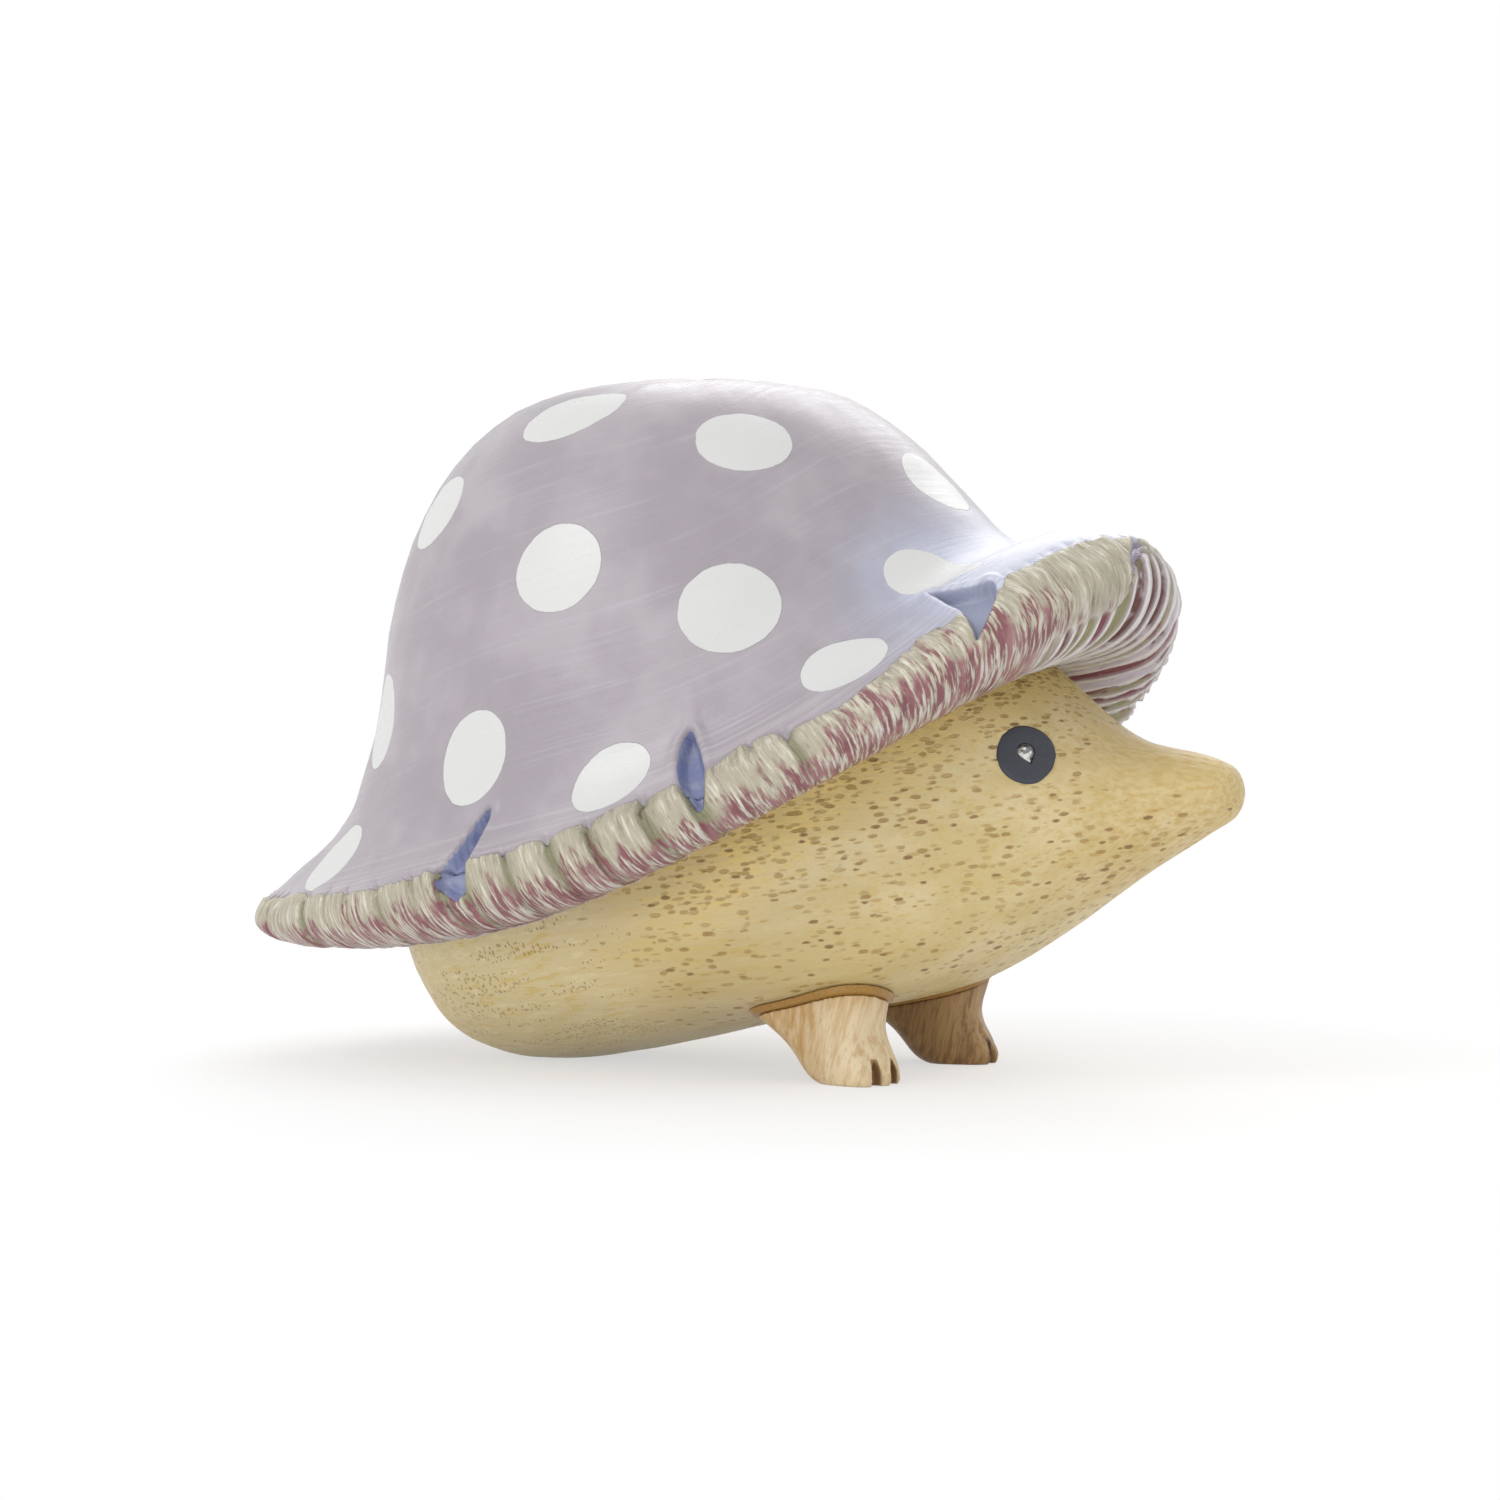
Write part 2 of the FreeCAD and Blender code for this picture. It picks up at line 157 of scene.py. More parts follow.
@dataclass
class SplineForm:
    """A cubic spline surface, closed round its axis and clamped at its two ends."""

    net: np.ndarray

    @staticmethod
    def gain(count: int) -> float:
        """How far a ring of poles lies outside the circle that its spline draws."""
        return 3.0 / (2.0 + math.cos(TAU / count))

    @staticmethod
    def clamped_weights(count: int, share: np.ndarray) -> np.ndarray:
        """Weights of the rows of poles at places along.

        Args:
            count: Number of rows.
            share: Places along, from 0 to 1.

        Returns:
            One row of weights for each place.
        """
        spans = count - 3
        knots = [0.0] * 3 + list(np.linspace(0.0, 1.0, spans + 1)) + [1.0] * 3
        place = np.clip(share, 0.0, 1.0 - TINY)
        weights = np.array([(place >= a) & (place < b) for a, b in zip(knots, knots[1:])], float)
        for degree in range(1, 4):
            raised = np.zeros((len(weights) - 1, len(place)))
            for i in range(len(raised)):
                left, right = knots[i + degree] - knots[i], knots[i + degree + 1] - knots[i + 1]
                if left > 0:
                    raised[i] += (place - knots[i]) / left * weights[i]
                if right > 0:
                    raised[i] += (knots[i + degree + 1] - place) / right * weights[i + 1]
            weights = raised
        return weights.T

    @staticmethod
    def ring_weights(count: int, turn: np.ndarray) -> np.ndarray:
        """Weights of the poles round a ring.

        Args:
            count: Number of poles.
            turn: Places round, in turns.

        Returns:
            One row of weights for each place.
        """
        place = (turn % 1.0) * count
        base = np.floor(place).astype(int)
        f = place - base
        parts = [(1 - f) ** 3, 3 * f ** 3 - 6 * f ** 2 + 4, -3 * f ** 3 + 3 * f ** 2 + 3 * f + 1, f ** 3]
        weights = np.zeros((len(place), count))
        for step, part in zip((-1, 0, 1, 2), parts):
            weights[np.arange(len(place)), (base + step) % count] += part / 6.0
        return weights

    def grid(self, turns: np.ndarray, shares: np.ndarray) -> np.ndarray:
        """Points at every pair of a place along and a place round.

        Args:
            turns: Places round, in turns.
            shares: Places along, from 0 to 1.

        Returns:
            Points with the places along first.
        """
        rows = self.clamped_weights(self.net.shape[0], shares)
        ring = self.ring_weights(self.net.shape[1], turns)
        return np.einsum("ti,aj,ijk->tak", rows, ring, self.net, optimize=True)

    def even_shares(self, count: int) -> np.ndarray:
        """Places along that lie at about even distances over the surface.

        Args:
            count: Number of places.

        Returns:
            The places, from 0 to 1.
        """
        shares = np.linspace(0.0, 1.0, MEASURED_PLACES)
        lines = self.grid(np.linspace(0.0, 1.0, MEASURED_LINES, endpoint=False), shares)
        steps = np.linalg.norm(np.diff(lines, axis=0), axis=-1).mean(axis=1)
        length = np.concatenate([[0.0], np.cumsum(steps)])
        return np.interp(np.linspace(0.0, length[-1], count), length, shares)


class Workshop:
    """Operators that every piece shares."""

    @staticmethod
    def clear_selection() -> None:
        """Leaves edit mode and deselects everything."""
        if bpy.context.object and bpy.context.object.mode != "OBJECT":
            bpy.ops.object.mode_set(mode="OBJECT")
        bpy.ops.object.select_all(action="DESELECT")

    @staticmethod
    def activate(piece: bpy.types.Object) -> None:
        """Selects one piece alone and makes it active.

        Args:
            piece: The piece.
        """
        Workshop.clear_selection()
        piece.select_set(True)
        bpy.context.view_layer.objects.active = piece

    @staticmethod
    def points(piece: bpy.types.Object) -> np.ndarray:
        """Reads the points of a mesh.

        Args:
            piece: The piece.

        Returns:
            One row for each point, in metres.
        """
        flat = np.empty(len(piece.data.vertices) * 3)
        piece.data.vertices.foreach_get("co", flat)
        return flat.reshape(-1, 3)

    @staticmethod
    def set_points(piece: bpy.types.Object, points: np.ndarray) -> None:
        """Puts the points of a mesh at places given in millimetres."""
        piece.data.vertices.foreach_set("co", (points * MM).astype(np.float32).ravel())
        piece.data.update()

    @staticmethod
    def set_field(piece: bpy.types.Object, name: str, values: np.ndarray) -> None:
        """Keeps a number, or a direction, at each point of a mesh for its finish to read.

        Args:
            piece: The piece.
            name: Name of the field.
            values: One number or one direction for each point.
        """
        kind, key = ("FLOAT", "value") if values.ndim == 1 else ("FLOAT_VECTOR", "vector")
        layer = piece.data.attributes.new(name, kind, "POINT")
        layer.data.foreach_set(key, values.astype(np.float32).ravel())

    @staticmethod
    def normals(grid: np.ndarray) -> np.ndarray:
        """Outward directions of a surface.

        Args:
            grid: Points with rows along and columns round.

        Returns:
            A unit direction for each point.
        """
        around = np.roll(grid, -1, axis=1) - np.roll(grid, 1, axis=1)
        along = np.gradient(grid, axis=0)
        normal = np.cross(along, around)
        return normal / (np.linalg.norm(normal, axis=-1, keepdims=True) + TINY)

    @staticmethod
    def shade_smooth(piece: bpy.types.Object) -> None:
        """Shades a piece smooth."""
        Workshop.activate(piece)
        bpy.ops.object.shade_smooth()

    @staticmethod
    def moulded(name: str, grid: np.ndarray, fields: dict[str, np.ndarray]) -> bpy.types.Object:
        """Adds a ball and pulls its rings into a closed form.

        Args:
            name: Name of the new piece.
            grid: Points in millimetres, with a row for each ring from pole to pole and a column for each
                segment.
            fields: What the finish reads, by name, on the rows and columns of the grid.

        Returns:
            The new piece.
        """
        rings, segments = len(grid) - 1, grid.shape[1]
        Workshop.clear_selection()
        bpy.ops.mesh.primitive_uv_sphere_add(segments=segments, ring_count=rings, radius=1.0)
        piece = bpy.context.object
        piece.name = piece.data.name = name
        x, y, z = Workshop.points(piece).T
        row = np.rint(np.arccos(np.clip(z, -1.0, 1.0)) / math.pi * rings).astype(int)
        column = np.rint((np.arctan2(y, x) / TAU % 1.0) * segments).astype(int) % segments
        Workshop.set_points(piece, grid[row, column])
        for field, values in fields.items():
            Workshop.set_field(piece, field, values[row, column])
        Workshop.shade_smooth(piece)
        return piece

    @staticmethod
    def copy_of_node(node: str, name: str) -> bpy.types.Object:
        """A merged copy of a CAD node's mesh, to be carved further.

        Args:
            node: Name of the CAD node.
            name: Name of the copy.

        Returns:
            The copy.
        """
        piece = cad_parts[node].copy()
        piece.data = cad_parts[node].data.copy()
        piece.name = piece.data.name = name
        piece.parent = None
        bpy.context.scene.collection.objects.link(piece)
        Workshop.activate(piece)
        bpy.ops.object.mode_set(mode="EDIT")
        bpy.ops.mesh.select_all(action="SELECT")
        bpy.ops.mesh.remove_doubles(threshold=1e-6)
        bpy.ops.object.mode_set(mode="OBJECT")
        return piece

    @staticmethod
    def apply_all(piece: bpy.types.Object) -> None:
        """Applies a piece's modifiers in order.

        Args:
            piece: The piece.
        """
        Workshop.activate(piece)
        for modifier in list(piece.modifiers):
            bpy.ops.object.modifier_apply(modifier=modifier.name)

    @staticmethod
    def dress(mesh: bpy.types.Mesh, paint: bpy.types.Material) -> None:
        """Gives a mesh one material."""
        mesh.materials.clear()
        mesh.materials.append(paint)

    @staticmethod
    def dress_node(node: str, paint: bpy.types.Material) -> None:
        """Gives a CAD node a material."""
        Workshop.dress(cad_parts[node].data, paint)

    @staticmethod
    def finish(piece: bpy.types.Object, paint: bpy.types.Material, slot: str, node: str) -> None:
        """Dresses a piece and ties it to the frame.

        Args:
            piece: The finished piece.
            paint: Its material.
            slot: The record's material slot; not used.
            node: CAD node that it stands for.
        """
        Workshop.dress(piece.data, paint)
        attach(piece, "root")
        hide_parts(node)
        Workshop.dress_node(node, paint)
        LOG.info("%s: %d faces", piece.name, len(piece.data.polygons))


# Finishes

Socket = bpy.types.NodeSocket


@dataclass(frozen=True)
class Grain:
    """A noise texture: how it is stretched, and how fine, layered and rough it is."""

    stretch: Triple
    scale: float = 1.0
    detail: float = 3.0
    roughness: float = 0.5


@dataclass
class Graph:
    """A tree of shader nodes, added one by one."""

    tree: bpy.types.NodeTree
    material: Optional[bpy.types.Material] = None

    @classmethod
    def new(cls, name: str) -> "Graph":
        """An empty material's graph.

        Args:
            name: Name of the material.

        Returns:
            The graph.
        """
        material = bpy.data.materials.new(name)
        material.use_nodes = True
        material.node_tree.nodes.clear()
        return cls(material.node_tree, material)

    def node(self, kind: str, **settings: object) -> bpy.types.Node:
        """Adds a node.

        Args:
            kind: Blender's name for the kind of node.
            **settings: Properties to set on it.

        Returns:
            The node.
        """
        made = self.tree.nodes.new(kind)
        for key, value in settings.items():
            setattr(made, key, value)
        return made

    def feed(self, socket: Socket, value: object) -> None:
        """Links a socket into another, or sets a plain value on it.

        Args:
            socket: The input.
            value: An output socket, a number, a colour or a direction.
        """
        if isinstance(value, bpy.types.NodeSocket):
            self.tree.links.new(value, socket)
        elif isinstance(value, tuple) and len(value) == 3 and socket.type == "RGBA":
            socket.default_value = (*value, 1.0)
        else:
            socket.default_value = value

    def math(self, operation: str, *values: object) -> Socket:
        """A math node.

        Args:
            operation: What it does.
            *values: Its inputs in order.

        Returns:
            Its output.
        """
        made = self.node("ShaderNodeMath", operation=operation)
        for socket, value in zip(made.inputs, values):
            self.feed(socket, value)
        return made.outputs[0]

    def times(self, first: object, second: object) -> Socket:
        """Product of two numbers."""
        return self.math("MULTIPLY", first, second)

    def plus(self, first: object, second: object) -> Socket:
        """Sum of two numbers."""
        return self.math("ADD", first, second)

    def minus(self, first: object, second: object) -> Socket:
        """First number less the second."""
        return self.math("SUBTRACT", first, second)

    def step(self, value: Socket, low: float, high: float) -> Socket:
        """Eases a value from 0 at low to 1 at high.

        Args:
            value: The value.
            low: Where the step begins, which may lie above its end.
            high: Where the step ends.

        Returns:
            The eased value.
        """
        made = self.node("ShaderNodeMapRange", interpolation_type="SMOOTHSTEP")
        for key, number in zip(("Value", "From Min", "From Max"), (value, low, high)):
            self.feed(made.inputs[key], number)
        return made.outputs["Result"]

    def remap(self, value: Socket, low: float, high: float, out_low: float, out_high: float) -> Socket:
        """Maps a range of values onto another, clamped.

        Args:
            value: The value.
            low: Start of its range.
            high: End of its range.
            out_low: What the start becomes.
            out_high: What the end becomes.

        Returns:
            The mapped value.
        """
        made = self.node("ShaderNodeMapRange")
        for key, number in zip(("Value", "From Min", "From Max", "To Min", "To Max"),
                               (value, low, high, out_low, out_high)):
            self.feed(made.inputs[key], number)
        return made.outputs["Result"]

    def mix(self, share: object, first: object, second: object) -> Socket:
        """Mixes two colours.

        Args:
            share: How much of the second colour.
            first: The first colour.
            second: The second colour.

        Returns:
            The mixed colour.
        """
        made = self.node("ShaderNodeMix", data_type="RGBA")
        self.feed(made.inputs["Factor"], share)
        self.feed(made.inputs[6], first)
        self.feed(made.inputs[7], second)
        return made.outputs[2]

    def tint(self, colour: object, share: object, strength: object, paint: object) -> Socket:
        """Lays a paint over a colour where a share says, at a strength."""
        return self.mix(self.times(share, strength), colour, paint)

    def value(self, name: str) -> Socket:
        """A number that the mesh keeps at its points."""
        return self.node("ShaderNodeAttribute", attribute_name=name).outputs["Fac"]

    def direction(self, name: str) -> Socket:
        """A direction that the mesh keeps at its points."""
        return self.node("ShaderNodeAttribute", attribute_name=name).outputs["Vector"]

    def place(self, scale: Triple, turn: Triple = (0.0, 0.0, 0.0)) -> Socket:
        """Object coordinates in millimetres, turned and then stretched.

        Args:
            scale: How each part is stretched.
            turn: Angles of the turn.

        Returns:
            The coordinates.
        """
        turned = self.node("ShaderNodeMapping")
        self.feed(turned.inputs["Vector"], self.node("ShaderNodeTexCoord").outputs["Object"])
        self.feed(turned.inputs["Rotation"], turn)
        self.feed(turned.inputs["Scale"], (1.0 / MM, 1.0 / MM, 1.0 / MM))
        return self.stretch(turned.outputs["Vector"], scale)

    def stretch(self, vector: Socket, scale: Triple) -> Socket:
        """A direction with its parts scaled.

        Args:
            vector: The direction.
            scale: A scale for each part.

        Returns:
            The scaled direction.
        """
        made = self.node("ShaderNodeVectorMath", operation="MULTIPLY")
        self.feed(made.inputs[0], vector)
        self.feed(made.inputs[1], scale)
        return made.outputs[0]

    def length(self, vector: Socket) -> Socket:
        """Length of a direction.

        Args:
            vector: The direction.

        Returns:
            Its length.
        """
        made = self.node("ShaderNodeVectorMath", operation="LENGTH")
        self.feed(made.inputs[0], vector)
        return made.outputs["Value"]

    def grain(self, kind: Grain, turn: Triple = (0.0, 0.0, 0.0), over: Optional[Socket] = None) -> Socket:
        """A noise over Object coordinates, or over a direction that the mesh keeps.

        Args:
            kind: The noise.
            turn: Angles that Object coordinates are turned by.
            over: The direction, where there is one.

        Returns:
            The noise's value.
        """
        made = self.node("ShaderNodeTexNoise")
        vector = self.place(kind.stretch, turn) if over is None else self.stretch(over, kind.stretch)
        for key, value in zip(("Vector", "Scale", "Detail", "Roughness"),
                              (vector, kind.scale, kind.detail, kind.roughness)):
            self.feed(made.inputs[key], value)
        return made.outputs["Fac"]

    def cells(self, vector: Socket, scale: float, randomness: float = 1.0) -> tuple[Socket, Sequence[Socket]]:
        """A cell texture.

        Args:
            vector: Where it is read.
            scale: Cells to a millimetre.
            randomness: How far the cells leave an even grid.

        Returns:
            Distance from a cell's middle, and three numbers that differ from cell to cell.
        """
        made = self.node("ShaderNodeTexVoronoi")
        for key, value in zip(("Vector", "Scale", "Randomness"), (vector, scale, randomness)):
            self.feed(made.inputs[key], value)
        parts = self.node("ShaderNodeSeparateColor")
        self.feed(parts.inputs[0], made.outputs["Color"])
        return made.outputs["Distance"], parts.outputs

    def seen(self) -> Socket:
        """What the camera sees, straight, in gloss or through glass.

        Returns:
            1 where it is seen, otherwise 0.
        """
        path = self.node("ShaderNodeLightPath")
        seen = self.math("MAXIMUM", path.outputs["Is Camera Ray"], path.outputs["Is Glossy Ray"])
        return self.math("MAXIMUM", seen, path.outputs["Is Transmission Ray"])

    def bump(self, height: Socket, distance_mm: float, strength: float = 1.0,
             below: Optional[Socket] = None) -> Socket:
        """A bump over an earlier one.

        Args:
            height: Height from 0 to 1.
            distance_mm: What a height of 1 means, in millimetres.
            strength: Strength of the bump.
            below: The earlier bump, where there is one.

        Returns:
            The bumped normal.
        """
        made = self.node("ShaderNodeBump")
        made.inputs["Strength"].default_value = strength
        made.inputs["Distance"].default_value = distance_mm * MM
        self.feed(made.inputs["Height"], height)
        if below is not None:
            self.feed(made.inputs["Normal"], below)
        return made.outputs["Normal"]

    def shade(self, colour: object, roughness: object, normal: Socket, **extra: object) -> bpy.types.Material:
        """Closes the graph with a principled shader.

        Args:
            colour: Base colour.
            roughness: Surface roughness.
            normal: Bumped normal, or None.
            **extra: Further plain inputs by their names, with spaces as underscores.

        Returns:
            The material.
        """
        shader = self.node("ShaderNodeBsdfPrincipled")
        self.feed(shader.inputs["Base Color"], colour)
        self.feed(shader.inputs["Roughness"], roughness)
        if normal is not None:
            self.feed(shader.inputs["Normal"], normal)
        for key, value in extra.items():
            self.feed(shader.inputs[key.replace("_", " ")], value)
        self.feed(self.node("ShaderNodeOutputMaterial").inputs["Surface"], shader.outputs[0])
        return self.material


@dataclass(frozen=True)
class CapPaint:
    """Hand-painted finish of the cap: lilac skin, white spots, cream pleats brushed with maroon."""

    skin: Colour = srgb(155, 147, 154)
    skin_pale: Colour = srgb(169, 162, 168)
    skin_blue: Colour = srgb(172, 178, 200)
    # Painted highlight colour for the middle of the blue by the front saddle.
    saddle_highlight: Colour = srgb(208, 211, 224)
    spot: Colour = srgb(207, 207, 206)
    cream: Colour = srgb(194, 187, 168)
    cream_pale: Colour = srgb(219, 214, 203)
    cream_dark: Colour = srgb(170, 163, 143)
    scratch: Colour = srgb(138, 118, 108)
    # Painted shade colour for the band's grooves.
    groove_shade: Colour = srgb(136, 134, 104)
    olive: Colour = srgb(150, 144, 108)
    maroon: Colour = srgb(128, 72, 82)
    stain: Colour = srgb(154, 104, 110)
    brown: Colour = srgb(102, 60, 54)
    lilac: Colour = srgb(206, 196, 208)
    fin_edge: Colour = srgb(230, 226, 226)
    split: Colour = srgb(120, 127, 164)
    split_pale: Colour = srgb(150, 154, 176)
    split_skin: Colour = srgb(152, 144, 160)
    cloud: Grain = Grain((1.0, 1.0, 1.0), 0.06, 3.0, 0.55)
    brush: Grain = Grain((0.10, 0.10, 1.0), 1.6, 4.0, 0.65)
    speckle: Grain = Grain((1.0, 1.0, 1.0), 1.2, 4.0, 0.6)
    ragged: Grain = Grain((1.0, 1.0, 1.0), 0.35, 3.0, 0.6)
    fine: Grain = Grain((1.0, 1.0, 0.018), 14.0, 4.0, 0.60)
    coarse: Grain = Grain((1.0, 1.0, 0.06), 3.0, 3.0, 0.55)
    specular: float = 0.55

    def skin_colour(self, g: Graph, ragged: Socket, brush: Socket) -> Socket:
        """Lilac skin with a cloud of blue by the front saddle, a painted highlight in its middle, soft brush
        strokes, and painted sheen streaks on the lower flare.

        Args:
            g: The graph.
            ragged: Unevenness of painted edges.
            brush: Brush strokes.

        Returns:
            The colour.
        """
        skin = g.mix(g.step(g.grain(self.cloud), 0.40, 0.70), self.skin, self.skin_pale)
        blue = g.value("blue")
        skin = g.tint(skin, blue, g.remap(ragged, 0.30, 0.70, 0.55, 1.0), self.skin_blue)
        # Painted highlight: near-white in the middle of the blue by the front saddle.
        skin = g.tint(skin, g.step(blue, 0.70, 1.0), g.remap(brush, 0.35, 0.65, 0.25, 0.85), self.saddle_highlight)
        skin = g.tint(skin, g.step(brush, 0.52, 0.74), 0.18, self.lilac)
        # Painted sheen: pale streaks on the lower flare, just above the band, stand for gloss.
        flare_sheen_streaks = g.times(g.value("flare_sheen"), g.step(brush, 0.40, 0.62))
        return g.tint(skin, flare_sheen_streaks, 0.14, self.fin_edge)

    def band_colour(self, g: Graph, pleat: Socket, fold: Socket, fine: Socket, coarse: Socket) -> Socket:
        """Cream pleats with grey-green painted shade in the grooves, scratches, maroon brushed on lower down,
        and pale lilac painted sheen where the band rolls under.

        Args:
            g: The graph.
            pleat: Height on a pleat.
            fold: Place along the roll.
            fine: Fine scratches along the pleats.
            coarse: Broader streaks along them.

        Returns:
            The colour.
        """
        cream = g.mix(g.step(fine, 0.44, 0.66), self.cream_dark, self.cream)
        cream = g.mix(g.step(fine, 0.56, 0.74), cream, self.cream_pale)
        cream = g.tint(cream, g.step(fine, 0.40, 0.34), 0.60, self.scratch)
        # Painted shade: the grooves turn grey-green, most where they are deepest.
        cream = g.tint(cream, g.step(pleat, 0.80, 0.30), 0.90, self.groove_shade)
        level = g.plus(g.plus(fold, g.value("stain")), g.times(g.minus(coarse, 0.5), 0.9))
        streaks = g.times(g.step(level, 0.15, 0.32), g.step(fine, 0.56, 0.46))
        cream = g.tint(cream, streaks, 0.95, g.mix(g.step(coarse, 0.40, 0.56), self.stain, self.maroon))
        # Brown in patches at the bottoms of the deepest grooves.
        groove_bottom_brown = g.times(g.step(pleat, 0.30, 0.10), g.step(coarse, 0.52, 0.60))
        cream = g.tint(cream, groove_bottom_brown, 0.8, self.brown)
        # Painted sheen: pale lilac streaks where the band rolls under.
        gloss = g.times(g.step(fold, 0.26, 0.40), g.step(fine, 0.54, 0.66))
        return g.tint(cream, gloss, 0.60, self.lilac)

    def fin_colour(self, g: Graph, pleat: Socket, fold: Socket, fine: Socket, coarse: Socket) -> Socket:
        """Thin fins with white edges over maroon, olive and brown valleys.

        Args:
            g: The graph.
            pleat: Height on a fin.
            fold: Place along the roll.
            fine: Fine scratches along the fins.
            coarse: Broader streaks along them.

        Returns:
            The colour.
        """
        shifted = g.plus(g.value("tint"), g.times(g.minus(coarse, 0.5), 0.6))
        gap = g.mix(g.step(shifted, 0.36, 0.44), self.maroon, self.olive)
        gap = g.mix(g.step(shifted, 0.62, 0.68), gap, self.brown)
        gap = g.mix(g.step(shifted, 0.80, 0.90), gap, self.lilac)
        gap = g.tint(gap, g.step(fine, 0.56, 0.66), 0.35, self.cream)
        gap = g.tint(gap, g.times(g.step(fold, 0.36, 0.16), g.step(fine, 0.66, 0.50)), 0.60, self.olive)
        flank = g.tint(gap, g.step(pleat, 0.34, 0.52), 0.35, self.lilac)
        return g.mix(g.step(pleat, 0.54, 0.74), flank, self.fin_edge)

    def material(self) -> bpy.types.Material:
        """Builds the material.

        Returns:
            The material.
        """
        g = Graph.new("cap_paint")
        flow = g.direction("flow")
        brush, fine, coarse = (g.grain(kind, over=flow) for kind in (self.brush, self.fine, self.coarse))
        speckle, ragged = g.grain(self.speckle), g.grain(self.ragged)
        pleat, fold, split, pale = (g.value(name) for name in ("pleat", "fold", "split", "pale"))

        away = g.length(g.direction("dot"))
        edge = g.plus(g.remap(away, 0.7, 1.3, 2.0, -2.0), g.remap(ragged, 0.3, 0.7, -0.10, 0.10))
        on_spot = g.step(g.math("MINIMUM", edge, g.plus(g.value("spot"), 0.35)), -0.05, 0.10)
        painted = g.mix(on_spot, self.skin_colour(g, ragged, brush), self.spot)
        waver = g.remap(g.plus(ragged, g.times(fine, 0.5)), 0.55, 0.95, -0.45, 0.45)
        on_band = g.step(g.plus(g.value("band"), waver), -0.08, 0.10)
        band = g.mix(g.value("front"), self.band_colour(g, pleat, fold, fine, coarse),
                     self.fin_colour(g, pleat, fold, fine, coarse))
        painted = g.mix(on_band, painted, band)
        cut = g.mix(g.step(ragged, 0.40, 0.75), self.split, self.split_pale)
        cut = g.mix(g.step(pale, 0.25, 0.50), cut, self.split_pale)
        cut = g.mix(g.step(pale, 0.60, 0.90), cut, self.split_skin)
        painted = g.mix(g.step(split, -0.02, 0.14), painted, cut)

        normal = g.bump(g.times(on_spot, 0.5), 0.25)
        normal = g.bump(brush, 0.07, 0.7, normal)
        normal = g.bump(speckle, 0.05, 0.5, normal)
        scratched = g.times(g.times(fine, on_band), g.step(split, 0.20, -0.20))
        normal = g.bump(scratched, 0.45, 0.9, normal)
        rough = g.remap(g.plus(brush, g.times(speckle, 0.5)), 0.5, 1.0, 0.24, 0.44)
        return g.shade(painted, rough, normal, Specular_IOR_Level=self.specular)


@dataclass(frozen=True)
class Dashes:
    """Brown dashes, one at most to each cell.

    The cell's width is in millimetres, the length is how many times longer than wide a dash is, and the size is
    a share of the cell.
    """

    cell: float
    length: float
    size: float


